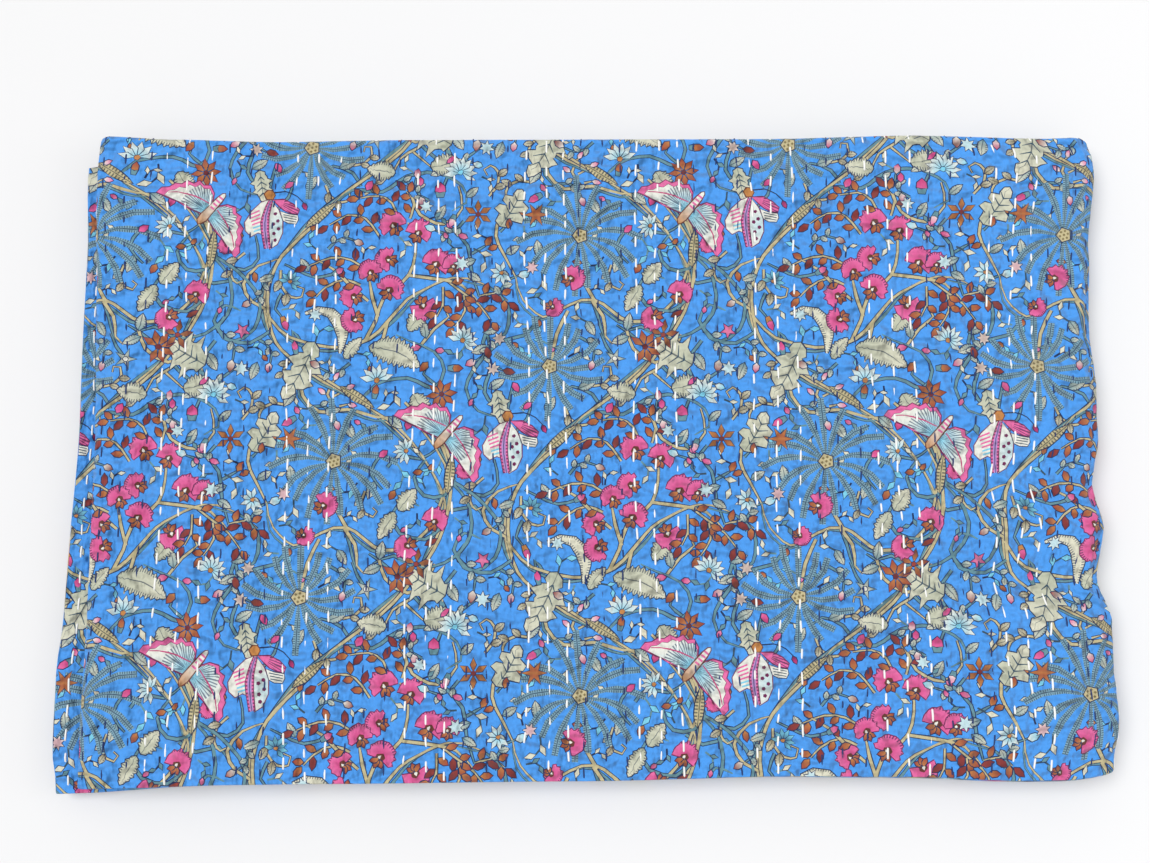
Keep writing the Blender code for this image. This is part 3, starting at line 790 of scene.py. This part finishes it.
# ---------------------------------------------------------------- the sprigs of the print
# Leafy twigs, curls and pale stars in the open ground, and after them tiny twigs wherever
# the ground is still bare.
def sprig(x, y, turn, size, kind):
    """A leafy twig with a bud, a curl with two leaves, or a pale star."""
    def put(points):
        return spin(points, x, y, turn, size)
    tone = (MAGENTA, RUSSET, CYAN)[(kind + round(x)) % 3]
    if kind == 0:
        stem(put([(-14, -3), (-4, 3), (8, 3), (17, -4)]), 1.2)
        for lx, ly, way in ((-7, 2, 60), (1, 4, -50), (8, 3, 50)):
            leaf(*put([(lx, ly)])[0], 9 * size, 2.8 * size, turn + way, shade=TEAL, layer="shade")
        bud(*put([(16, -4)])[0], 11 * size, 7 * size, turn - 40, tone, CREAM)
    elif kind == 1:
        stem(put([(-16, 2), (-4, -4), (8, -2), (13, 6), (8, 11), (3, 7)]), 1.2, TAN, 6.0)
        for lx, ly, way in ((-8, -2, -60), (4, -3, -40)):
            leaf(*put([(lx, ly)])[0], 11 * size, 3.2 * size, turn + way, shade=TAN_DARK, layer="shade")
    else:
        star(x, y, 12 * size, 7, 0.5, turn, CREAM, tone)


# (x, y, turn, size, kind)
for row in (
    (246, 318, 250, 1.0, 0), (254, 296, 20, 0.8, 2), (14, 262, 80, 1.1, 1), (30, 316, 300, 0.9, 0),
    (290, 152, 300, 1.2, 1), (262, 150, 250, 0.9, 0), (318, 124, 110, 0.8, 2), (26, 150, 60, 1.1, 0),
    (52, 172, 330, 0.8, 2), (132, 160, 280, 0.9, 1), (238, 172, 250, 1.1, 1), (232, 96, 300, 1.1, 0),
    (246, 70, 240, 0.9, 2), (218, 52, 20, 0.9, 0), (340, 198, 20, 0.9, 0), (336, 246, 320, 1.0, 1),
    (452, 212, 200, 1.0, 0), (462, 176, 330, 0.9, 2), (340, 70, 190, 1.0, 0), (292, 68, 250, 0.9, 1),
    (108, 92, 300, 0.9, 0), (124, 60, 40, 0.9, 1), (168, 30, 330, 1.0, 0), (186, 8, 60, 0.8, 2),
    (276, 30, 200, 1.0, 1), (330, 28, 330, 0.9, 0), (20, 100, 20, 0.8, 2), (420, 250, 120, 0.9, 0),
    (372, 258, 60, 0.8, 1),
):
    sprig(*row)

TWIGS = 46
HALF_DROP = (
    (0, 0), (WIDE, 0), (-WIDE, 0),
    (WIDE / 2, HIGH), (-WIDE / 2, HIGH), (WIDE / 2, -HIGH), (-WIDE / 2, -HIGH),
)
random.seed(7)
near = [(x + dx, y + dy) for shapes in layers.values() for points, colour, mark in shapes
        for x, y in points for dx, dy in HALF_DROP]
near = [(x % WIDE if 0 <= y < HIGH else x, y) for x, y in near
        if -20 < y < HIGH + 20 and -20 < x < WIDE + 20]
for count in range(TWIGS):
    tree = KDTree(len(near))
    for k, (x, y) in enumerate(near):
        tree.insert((x, y, 0), k)
    tree.balance()
    tries = [(random.uniform(0, WIDE), random.uniform(0, HIGH)) for k in range(260)]
    gap, x, y = max((tree.find((x, y, 0))[2], x, y) for x, y in tries)
    turn = random.uniform(0, 360)
    size = min(1.6, gap / 7.5)
    chain = spin([(-9, -2), (-2, 2.5), (5, 1), (9, -3)], x, y, turn, size)
    ribbon("thin", smooth(chain, 8.0), (0.9, 1.1, 0.6), (TEAL_DARK, TEAL, EDGE)[count % 3])
    for lx, ly, way in ((-4, 1, 55), (3, 1.5, -45)):
        foot = spin([(lx, ly)], x, y, turn, size)[0]
        lens = spin([(0, 0), (3.5, 1.9), (8, 0), (3.5, -1.9)], *foot, turn + way, size)
        outlined("shade", lens, (PALE, TEAL, PALE, CYAN)[count % 4], 0.9)
    if count % 2:
        tones = ((MAGENTA, ROSE), (RUSSET, OCHRE))[count % 4 // 2]
        bud(*chain[-1], 7 * size, 4.5 * size, turn - 30, *tones, layer="shade")
    taken = chain + spin([(4, 8), (0, -6), (8, -8), (-8, 6)], x, y, turn, size)
    near += [(px + dx, py + dy) for px, py in taken for dx, dy in HALF_DROP]

# ---------------------------------------------------------------- the print cut into faces
# Every shape goes into the repeat wherever it falls, and overlapping shapes are cut apart.
# Only the lines that show are kept, and the repeat is cut again along them with fewer faces.
polygons = [([(0, 0), (WIDE, 0), (WIDE, HIGH), (0, HIGH)], GROUND)]
for points, colour, mark in (shape for shapes in layers.values() for shape in shapes):
    xs, ys = zip(*points)
    for j in range(-3, 4):
        for i in range(-2, 3):
            dx = i * WIDE + (j % 2) * WIDE / 2
            dy = j * HIGH
            if min(xs) + dx <= WIDE and max(xs) + dx >= 0 and min(ys) + dy <= HIGH and max(ys) + dy >= 0:
                polygons.append(([(x + dx, y + dy) for x, y in points], (colour, dx, dy, mark)))
EDGE_STEP = 16.0  # between the points along the repeat's edges, so that repeats fit together
spots, faces = [], []
for points, colour in polygons:
    numbers = list(range(len(spots), len(spots) + len(points)))
    spots += points
    faces.append(numbers if turned_area(points) > 0 else numbers[::-1])
spots += [(min(WIDE, i * EDGE_STEP), y) for i in range(int(WIDE / EDGE_STEP) + 1) for y in (0.0, HIGH)]
spots += [(x, min(HIGH, j * EDGE_STEP)) for j in range(int(HIGH / EDGE_STEP) + 1) for x in (0.0, WIDE)]
cut = delaunay_2d_cdt([Vector(p) for p in spots], [], faces, 2, 1e-4, True)
cut_points, cut_faces, shapes_of = cut[0], cut[2], cut[5]
inside = [i for i, shapes in enumerate(shapes_of) if 0 in shapes]
owner_of = [max(shapes_of[i]) for i in inside]
flat_faces = [cut_faces[i] for i in inside]


def same(a, b):
    """True where no line shows between two shapes."""
    if a == b or not a or not b:
        return a == b
    (one, dx, dy, mark), (two, ex, ey, other) = polygons[a][1], polygons[b][1]
    return type(one) is tuple and one == two and not mark and not other


beside = {}
for face, owner in zip(flat_faces, owner_of):
    for a, b in zip(face, face[1:] + face[:1]):
        beside.setdefault((min(a, b), max(a, b)), []).append(owner)
neighbours = {}
SLIGHT_BEND, LONGEST, BY_THE_EDGE = 0.4, 26, 0.01
for (a, b), owners in beside.items():
    if len(owners) == 1 or not same(*owners[:2]):
        neighbours.setdefault(a, set()).add(b)
        neighbours.setdefault(b, set()).add(a)
for k in list(neighbours):
    here = cut_points[k]
    off_edge = min(here.x, here.y, WIDE - here.x, HIGH - here.y)
    if len(neighbours[k]) != 2 or off_edge < BY_THE_EDGE:
        continue
    a, b = neighbours[k]
    line = cut_points[b] - cut_points[a]
    straight = abs(line.cross(here - cut_points[a])) < SLIGHT_BEND * line.length
    if b not in neighbours[a] and straight and line.length < LONGEST:
        for one, other in ((a, b), (b, a)):
            neighbours[one].remove(k)
            neighbours[one].add(other)
        del neighbours[k]
number = {k: i for i, k in enumerate(neighbours)}
clean = [Vector(cut_points[k]) for k in neighbours]
lines = [(number[a], number[b]) for a in neighbours for b in neighbours[a] if a < b]
finder = BVHTree.FromPolygons([Vector((*p, 0)) for p in cut_points], flat_faces)
CELL, ALONG_STEP, ACROSS_STEP = 5, 8.0, 14.0
taken = {(int(p.x // CELL) + i, int(p.y // CELL) + j) for p in clean
         for i, j in ((0, 0), (1, 0), (0, 1), (-1, 0), (0, -1))}
random.seed(5)
for i in range(1, int(WIDE / ALONG_STEP)):
    for j in range(int(HIGH / ACROSS_STEP)):
        x = i * ALONG_STEP + random.uniform(-2, 2)
        y = (j + 0.25 + 0.5 * (i % 2)) * ACROSS_STEP + random.uniform(-3, 3)
        if 2 < y < HIGH - 2 and (int(x // CELL), int(y // CELL)) not in taken:
            clean.append(Vector((x, y)))
again = delaunay_2d_cdt(clean, lines, [], 0, 1e-4, True)
points, faces = again[0], again[2]
NO_MARK = (0.0, 0.0, 2.0, 0.0)
cell_faces, cell_inks = [], []
for face in faces:
    corners = [Vector((*points[k], 0)) for k in face]
    a, b, c = corners
    middle = (a + b + c) / 3
    if not (0 < middle.x < WIDE and 0 < middle.y < HIGH) or (b - a).cross(c - a).length < 1e-5:
        continue
    owner = owner_of[finder.find_nearest(middle)[2]]
    colour, dx, dy, mark = polygons[owner][1] if owner else (GROUND, 0, 0, None)
    cell_faces.append(face)
    cell_inks.append([(*(colour(p.x - dx, p.y - dy) if callable(colour) else colour),
                       *(mark(p.x - dx, p.y - dy) if mark else NO_MARK)) for p in corners])
cell_points = np.array([tuple(p) for p in points])
cell_faces, cell_inks = np.array(cell_faces), np.array(cell_inks)
cell_finder = BVHTree.FromPolygons([Vector((x, y, 0)) for x, y in cell_points], cell_faces.tolist())
cell_mean = cell_inks[:, :, :3].mean(axis=1)


def print_at(u, v):
    """Colour of the print at a place of the flat cloth."""
    x, y = (u - START[0]) / UNIT, (v - START[1]) / UNIT
    row = floor(y / HIGH)
    x = (x - (row % 2) * WIDE / 2) % WIDE
    return cell_mean[cell_finder.find_nearest(Vector((x, y - row * HIGH, 0)))[2]]


# ---------------------------------------------------------------- the printed cotton
# The print's colours lie on the faces of the cloth; a fine weave, a slight unevenness of
# the dye and short puckers between the stitches come from the nodes.
cotton = bpy.data.materials.new("printed_cotton")
cotton.use_nodes = True
tree = cotton.node_tree
shader = tree.nodes["Principled BSDF"]


class Socket:
    """A node's output that can be used in sums; an index gives another output of its node."""

    def __init__(self, socket):
        self.socket = socket

    def __getitem__(self, name):
        return Socket(self.socket.node.outputs[name])

    @staticmethod
    def node(kind, settings, inputs, out=0):
        """Any node: its type, its settings, and the values or links of its sockets."""
        made = tree.nodes.new("ShaderNode" + kind)
        for name, value in settings.items():
            setattr(made, name, value)
        for name, value in inputs.items():
            if isinstance(value, Socket):
                tree.links.new(value.socket, made.inputs[name])
            else:
                made.inputs[name].default_value = value
        return Socket(made.outputs[out])

    def calc(self, operation, other=0.0):
        return self.node("Math", {"operation": operation}, {0: self, 1: other})

    def __add__(self, other):
        return self.calc("ADD", other)

    def __mul__(self, other):
        return self.calc("MULTIPLY", other)

    __radd__, __rmul__ = __add__, __mul__


along_cloth = Socket.node("SeparateXYZ", {}, {0: Socket.node("UVMap", {"uv_map": "cloth"}, {})})
across_cloth = along_cloth[1]


def noise(scale_u, scale_v, detail=2.0):
    """Noise over the flat cloth, in cells to the millimetre."""
    place = Socket.node("CombineXYZ", {}, {0: along_cloth * scale_u, 1: across_cloth * scale_v})
    return Socket.node("TexNoise", {}, {"Vector": place, "Scale": 1.0, "Detail": detail}, "Fac")


weave = (along_cloth * 13.0).calc("SINE") * (across_cloth * 12.0).calc("SINE") * 0.5 + 0.5
slub = noise(0.35, 2.4) + noise(2.4, 0.3)
dye = noise(0.05, 0.05) * 0.5 + noise(0.9, 0.9) * 0.5
tone = dye * 0.16 + weave * 0.05 + slub * 0.05 + 0.86
roughness = noise(0.4, 0.4) * 0.14 + 0.74
puckers = noise(0.09, 0.12, 1.0) * 2.8 + noise(0.3, 0.16, 1.0) * 0.6

# the fine dark lines of the motifs: ticks outside a share of the width, and a rib
marks = Socket.node("Attribute", {"attribute_name": "mark"}, {}, "Color")
channels = Socket.node("SeparateColor", {}, {0: marks})
side, ticks, tick_start = channels.calc("ABSOLUTE"), channels[1], channels[2]
tick = ticks.calc("FRACT").calc("LESS_THAN", 0.42) * side.calc("GREATER_THAN", tick_start)
fine_lines = tick.calc("MAXIMUM", side.calc("LESS_THAN", marks["Alpha"]))

# the printed colour under those lines, made a little lighter and darker by dye and weave
MULTIPLY = {"data_type": "RGBA", "blend_type": "MULTIPLY"}
printed = Socket.node("Attribute", {"attribute_name": "print"}, {}, "Color")
lined = Socket.node("Mix", MULTIPLY, {
    "Factor": fine_lines * 0.85, "A": printed, "B": (0.12, 0.16, 0.26, 1)}, "Result")
grey = Socket.node("CombineColor", {}, {0: tone, 1: tone, 2: tone})
tinted = Socket.node("Mix", MULTIPLY, {"Factor": 1.0, "A": lined, "B": grey}, "Result")
relief = Socket.node("Bump", {}, {
    "Strength": 1.0, "Distance": 0.006, "Height": puckers + weave * 0.03 + slub * 0.04})
for name, value in (("Base Color", tinted), ("Roughness", roughness), ("Normal", relief)):
    tree.links.new(value.socket, shader.inputs[name])
for name, value in (("Specular IOR Level", 0.25), ("Sheen Weight", 0.12), ("Sheen Roughness", 0.5)):
    shader.inputs[name].default_value = value

# ---------------------------------------------------------------- the quilt's cloth
# One sheet of cloth, folded as the solid is: its printed face, cut along every line of the
# print on the top ply and on the strip of the lower pack that stands out at the left.
HEM_R, HEM_WIDE = 0.62, 8.0
STRIP = 34.0
FLAP = 170.5 - TURN_Y
FLAP_TURN = HIGH_V + ACROSS
FLAP_START = FLAP_TURN + TURN_ARC
STEP_YS = [163.0, 169.0, 170.5]
STEP_VS = [v for y in STEP_YS for v in (
    y, HIGH_V + SPINE_Y - y, LOW_V + TURN_Y - y, FLAP_START + y - TURN_Y)]
cloth_flat, cloth_faces, cloth_inks, cloth_map = [], [], [], []


def lifted(u, v):
    """How high the quilting lifts the cloth's face at (u, v), fading out at the folded edges."""
    if v < TURN_Y - 1.5 or v > SPINE_Y + 4:
        return 0.0
    fade = ease(v, TURN_Y - 1.5, TURN_Y + 6) * (1 - ease(v, SPINE_Y - 4, SPINE_Y + 4))
    if u < LOW_U:
        return (quilted(u, v) if u < UPPER_END + 40 else 0.0) * fade
    return quilted(u, v) * fade * ease(u, LOW_U, LEFT_X) * (1 - ease(u, HIGH_U, HIGH_U + 3))


def cloth_at(u, v):
    """The point of the cloth's face at (u, v). Past the end lines the hem's edge rolls under."""
    inner = min(max(u, UPPER_END), LOWER_END)
    past = abs(u - inner)
    here = lies(inner, v, lifted(inner, v))
    if past < 1e-6:
        return here
    back = (lies(inner + (0.5 if u < inner else -0.5), v) - lies(inner, v)).normalized()
    down = (lies(inner, v, -1.0) - lies(inner, v)).normalized()
    turn = min(past / HEM_R, pi)
    rest = max(0.0, past - HEM_R * pi)
    return here + (down * (HEM_R * (1 - cos(turn))) - back * (HEM_R * sin(turn)) + back * rest) * MM


def normal_at(u, v):
    """The direction that the cloth's face looks in at (u, v)."""
    h = 0.25
    du = cloth_at(u + h, v) - cloth_at(u - h, v)
    dv = cloth_at(u, v + h) - cloth_at(u, v - h)
    return du.cross(dv).normalized()


def add_patch(flat, faces, inks, corner):
    """Joins a patch to the cloth; corner gives its place (x, y, width, height) on the bake's map."""
    first = sum(len(f) for f in cloth_flat)
    flat = np.array(flat)
    low, size = flat.min(axis=0), np.ptp(flat, axis=0)
    cloth_flat.append(flat)
    cloth_faces.append(np.array(faces) + first)
    cloth_inks.append(np.array(inks))
    cloth_map.append(np.array(corner[:2]) + (flat - low) / size * np.array(corner[2:]))


def evenly(start, stop, step):
    """Numbers from start to stop, about a step apart, with both ends."""
    count = max(1, round(abs(stop - start) / step))
    return [start + (stop - start) * k / count for k in range(count + 1)]


def run(*parts):
    """One rising list from several (start, stop, step) parts."""
    return sorted({round(x, 6) for part in parts for x in evenly(*part)})


def stepped(vs):
    """The same lines across, with those of the hems' stepped corner added."""
    return sorted({*vs, *(v for v in STEP_VS if vs[0] < v < vs[-1])})


def paint_on(data, inks):
    """The print's colours and marks as two attributes of a mesh's corners; inks has seven columns."""
    for name, values in (("print", np.insert(inks[:, :3], 3, 1.0, axis=1)), ("mark", inks[:, 3:])):
        attribute = data.color_attributes.new(name, "FLOAT_COLOR", "CORNER")
        attribute.data.foreach_set("color", values.astype(np.float32).ravel())


def plain_patch(us, vs, corner):
    """A patch on a grid of lines, with the print's colour at each point."""
    flat = [(u, v) for u in us for v in vs]
    tones = [print_at(u, v) for u, v in flat]
    faces = []
    for i in range(len(us) - 1):
        for j in range(len(vs) - 1):
            a, b = i * len(vs) + j, (i + 1) * len(vs) + j
            faces += [(a, b, b + 1), (a, b + 1, a + 1)]
    add_patch(flat, faces, [[(*tones[k], *NO_MARK) for k in face] for face in faces], corner)


def repeats(low, high, origin, size):
    """The numbers of the repeats that reach from low to high."""
    return range(floor((low - origin) / UNIT / size), ceil((high - origin) / UNIT / size))


def print_patch(low_u, high_u, u_cuts, v_cuts, corner):
    """A patch cut along every line of the print, from the front edge to the back."""
    points, triangles, inks = [], [], []
    columns = repeats(low_u, high_u, START[0], WIDE)
    for j in repeats(LOW_V, HIGH_V, START[1], HIGH):
        for i in range(columns[0] - 1, columns[-1] + 2):
            at = (cell_points + [i * WIDE + (j % 2) * WIDE / 2, j * HIGH]) * UNIT + START
            low, high = at[cell_faces].min(axis=1), at[cell_faces].max(axis=1)
            keep = ((high > (low_u, LOW_V)) & (low < (high_u, HIGH_V))).all(axis=1)
            triangles.append(cell_faces[keep] + sum(len(p) for p in points))
            points.append(at)
            inks.append(cell_inks[keep])
    points = np.concatenate(points)
    data = bpy.data.meshes.new("flat")
    data.from_pydata(np.column_stack([points, np.zeros(len(points))]), [], np.concatenate(triangles))
    paint_on(data, np.concatenate(inks).reshape(-1, 7))
    sheet = bmesh.new()
    sheet.from_mesh(data)
    bpy.data.meshes.remove(data)
    bmesh.ops.delete(sheet, geom=[v for v in sheet.verts if not v.link_faces], context="VERTS")
    bmesh.ops.remove_doubles(sheet, verts=[v for v in sheet.verts if v.is_boundary], dist=1e-3)
    for axis, at, way in ((0, low_u, -1), (0, high_u, 1), (1, LOW_V, -1), (1, HIGH_V, 1)):
        away = Vector((1 - axis, axis, 0))
        bmesh.ops.bisect_plane(sheet, geom=sheet.verts[:] + sheet.edges[:] + sheet.faces[:], dist=1e-5,
                               plane_co=away * at, plane_no=away * way, clear_outer=True)
    for axis, at in [(0, u) for u in u_cuts] + [(1, v) for v in v_cuts]:
        crossed = [f for f in sheet.faces
                   if min(v.co[axis] for v in f.verts) < at < max(v.co[axis] for v in f.verts)]
        geom = {part for f in crossed for part in (f, *f.edges, *f.verts)}
        away = Vector((1 - axis, axis, 0))
        bmesh.ops.bisect_plane(sheet, geom=list(geom), dist=1e-5, plane_co=away * at, plane_no=away)
    bmesh.ops.triangulate(sheet, faces=[f for f in sheet.faces if len(f.verts) > 3])
    sheet.verts.index_update()
    layer, marks = (sheet.loops.layers.float_color[name] for name in ("print", "mark"))
    add_patch([v.co[:2] for v in sheet.verts], [[v.index for v in f.verts] for f in sheet.faces],
              [[(*loop[layer][:3], *loop[marks]) for loop in f.loops] for f in sheet.faces], corner)
    sheet.free()


def round_edge(start, stop, cuts):
    """Lines across a folded edge, with 3 mm of the flat cloth on both sides of it."""
    return run((start - 3, start, 3), (start, stop, (stop - start) / cuts), (stop, stop + 3, 3))


def upper_us(step):
    """Lines along the two upper packs, round the fold between them."""
    return run((UPPER_END, UPPER_U, step), (UPPER_U, INNER_U, INNER_ARC / 6), (INNER_U, LOW_U, step))


def past_strip(us):
    """The lines that lie past the strip at the left hem, and the strip's own end."""
    return [UPPER_END + STRIP] + [u for u in us if u > UPPER_END + STRIP]


LEFT_ROUND, OUTER_ROUND = (LOW_U, LEFT_X, LEFT_ARC / 6), (RIGHT_X, HIGH_U, OUTER_ARC / 11)
TURN_ROUND, SPINE_ROUND = (LOW_V, TURN_Y, TURN_ARC / 4), (SPINE_Y, HIGH_V, SPINE_ARC / 6)
turn_cuts, spine_cuts = evenly(*TURN_ROUND)[1:], evenly(*SPINE_ROUND)[:-1]
print_patch(LOW_U, HIGH_U, evenly(*LEFT_ROUND)[1:] + evenly(*OUTER_ROUND)[:-1], turn_cuts + spine_cuts,
            (0.005, 0.005, 0.99, 0.61))
print_patch(UPPER_END, UPPER_END + STRIP, [], turn_cuts + STEP_YS + spine_cuts, (0.47, 0.63, 0.035, 0.36))
# the turned edges and the book fold of the other packs, which show at the front and back
upper, lower = past_strip(upper_us(9)), run((HIGH_U, LOWER_END, 9))
whole = sorted({*upper_us(9), *lower, *run(LEFT_ROUND, (LEFT_X, RIGHT_X, 9), OUTER_ROUND)})
near_turn, near_spine = round_edge(LOW_V, TURN_Y, 4), round_edge(SPINE_Y, HIGH_V, 6)
near_flap = round_edge(FLAP_TURN, FLAP_START, 4)
for k, (us, vs) in enumerate((
    (upper, near_turn), (upper, near_spine), (lower, near_turn), (lower, near_spine), (whole, near_flap),
)):
    plain_patch(us, vs, (0.52, (64 + k) / 100, 0.47, 0.008))
# the lowest face, and the plies that are hidden inside
FLAT_V = (TURN_Y + 3, SPINE_Y - 3)
plain_patch(run((HIGH_U, LOWER_END, 14)), stepped(run((*FLAT_V, 14))), (0.01, 0.63, 0.45, 0.36))
plain_patch(past_strip(upper_us(45)), stepped(run((*FLAT_V, 45))), (0.52, 0.70, 0.20, 0.12))
wide_upper = sorted({*upper_us(45), *run(LEFT_ROUND, (LEFT_X, RIGHT_X - 60, 45))})
round_right = run((RIGHT_X - 60, RIGHT_X, 30), (RIGHT_X, HIGH_U, OUTER_ARC / 7), (HIGH_U, HIGH_U + 60, 30))
wide_lower = run((HIGH_U + 60, LOWER_END, 45))
for low, high, left, bottom in (
    (LOW_V - FLAP, LOW_V - 3, 0.52, 0.83), (HIGH_V + 3, FLAP_TURN - 3, 0.74, 0.70),
    (FLAP_START + 3, FLAP_START + FLAP, 0.74, 0.83),
):
    plain_patch(wide_upper, stepped(run((low, high, 45))), (left, bottom, 0.14, 0.12))
    plain_patch(round_right, run((low, high, 12)), (left + 0.14, bottom, 0.02, 0.12))
    plain_patch(wide_lower, stepped(run((low, high, 45))), (left + 0.16, bottom, 0.04, 0.12))
for start, bottom in ((LOW_V - 3, 0.70), (HIGH_V, 0.72)):
    plain_patch([UPPER_END, UPPER_END + STRIP], run((start, start + 3, 3)), (0.96, bottom, 0.01, 0.01))
# the two hems at the left, with their edges turned under
all_v = stepped(run(
    (LOW_V - FLAP, LOW_V, 9), TURN_ROUND, (TURN_Y, SPINE_Y, 9), SPINE_ROUND, (HIGH_V, FLAP_TURN, 9),
    (FLAP_TURN, FLAP_START, TURN_ARC / 4), (FLAP_START, FLAP_START + FLAP, 9)))
hem_steps = evenly(0, pi * HEM_R, pi * HEM_R / 4) + [pi * HEM_R + HEM_WIDE]
plain_patch(sorted(UPPER_END - h for h in hem_steps), all_v, (0.96, 0.74, 0.012, 0.25))
plain_patch([LOWER_END + h for h in hem_steps], all_v, (0.98, 0.74, 0.012, 0.25))

cloth_flat, cloth_faces = np.concatenate(cloth_flat), np.concatenate(cloth_faces)
cloth_map = np.concatenate(cloth_map)
mesh = bpy.data.meshes.new("quilt_cloth")
mesh.from_pydata([cloth_at(u, v) for u, v in cloth_flat.tolist()], [], cloth_faces.tolist())
mesh.polygons.foreach_set("use_smooth", [True] * len(cloth_faces))
for name, values in (("cloth", cloth_flat), ("OFBake", cloth_map)):
    layer = mesh.uv_layers.new(name=name)
    layer.uv.foreach_set("vector", values[cloth_faces.ravel()].astype(np.float32).ravel())
paint_on(mesh, np.concatenate(cloth_inks).reshape(-1, 7))
mesh.materials.append(cotton)
mesh.normals_split_custom_set_from_vertices([normal_at(u, v) for u, v in cloth_flat.tolist()])
cloth = bpy.data.objects.new("quilt_cloth", mesh)
scene.collection.objects.link(cloth)
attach(cloth, "root")
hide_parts("quilt")

# ---------------------------------------------------------------- the running stitches
# Short arched threads along each row, uneven in length and spacing; their ends dip into
# the cloth. White and navy cotton.
THREAD, STRAY, SKIPPED = 0.42, 0.35, 0.03
HALF_WIDE = {"white": 0.62, "navy": 0.45}
LENGTHS = {"white": (5.2, 8.2), "navy": (4.2, 6.8)}
ARCH = ((0.0, -0.35, 0.5), (0.1, 0.0, 0.95), (0.5, 0.22, 1.0), (0.9, 0.0, 0.95), (1.0, -0.35, 0.5))
made = {"white": ([], []), "navy": ([], [])}
random.seed(11)


def stitch(thread, start, end):
    """One stitch over the cloth between two places (u, v): a thread with four sides."""
    points, faces = made[thread]
    first = len(points)
    au, av = heading(start, end)
    for t, lift, wide in ARCH:
        u, v = start[0] + (end[0] - start[0]) * t, start[1] + (end[1] - start[1]) * t
        base, w = lifted(u, v), HALF_WIDE[thread] * wide
        points.append(lies(u - av * w, v + au * w, base + lift))
        points.append(lies(u, v, base + lift + THREAD * wide))
        points.append(lies(u + av * w, v - au * w, base + lift))
        points.append(lies(u, v, base + lift - THREAD))
    last = len(points) - 4
    for a in range(first, last):
        b = a + 1 if (a - first) % 4 < 3 else a - 3
        faces.append((a, a + 4, b + 4, b))
    faces.append((first, first + 1, first + 2, first + 3))
    faces.append((last + 3, last + 2, last + 1, last))


for index, (u, thread) in enumerate(rows):
    if u < LOW_U + 4 or u > HIGH_U - 1:
        continue
    v = TURN_Y + random.uniform(-1.0, 9.0)
    while v < SPINE_Y + 2:
        long = random.uniform(*LENGTHS[thread])
        off = random.uniform(-STRAY, STRAY)
        if random.random() > SKIPPED:
            end = (u + sway(index, v + long) + random.uniform(-STRAY, STRAY), v + long)
            stitch(thread, (u + sway(index, v) + off, v), end)
        v += long + random.uniform(5.2, 8.6)
# one more row of white stitches holds the hem of the lower pack
v = TURN_Y + 3
while v < SPINE_Y - 6:
    long = random.uniform(5.0, 7.6)
    u = UPPER_END + 7.0 + 0.8 * sin(v * 0.05)
    stitch("white", (u, v), (u + random.uniform(-0.4, 0.4), v + long))
    v += long + random.uniform(5.0, 8.5)
for thread, colour in (("white", (0.86, 0.86, 0.84)), ("navy", (0.02, 0.04, 0.14))):
    name = "stitches_" + thread
    mesh = bpy.data.meshes.new(name)
    mesh.from_pydata(made[thread][0], [], made[thread][1])
    form = bmesh.new()
    form.from_mesh(mesh)
    bmesh.ops.recalc_face_normals(form, faces=form.faces)
    form.to_mesh(mesh)
    form.free()
    mesh.polygons.foreach_set("use_smooth", [True] * len(mesh.polygons))
    mesh.materials.append(plain_material(name, colour, 0.7, 0.3))
    piece = bpy.data.objects.new(name, mesh)
    scene.collection.objects.link(piece)
    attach(piece, "root")
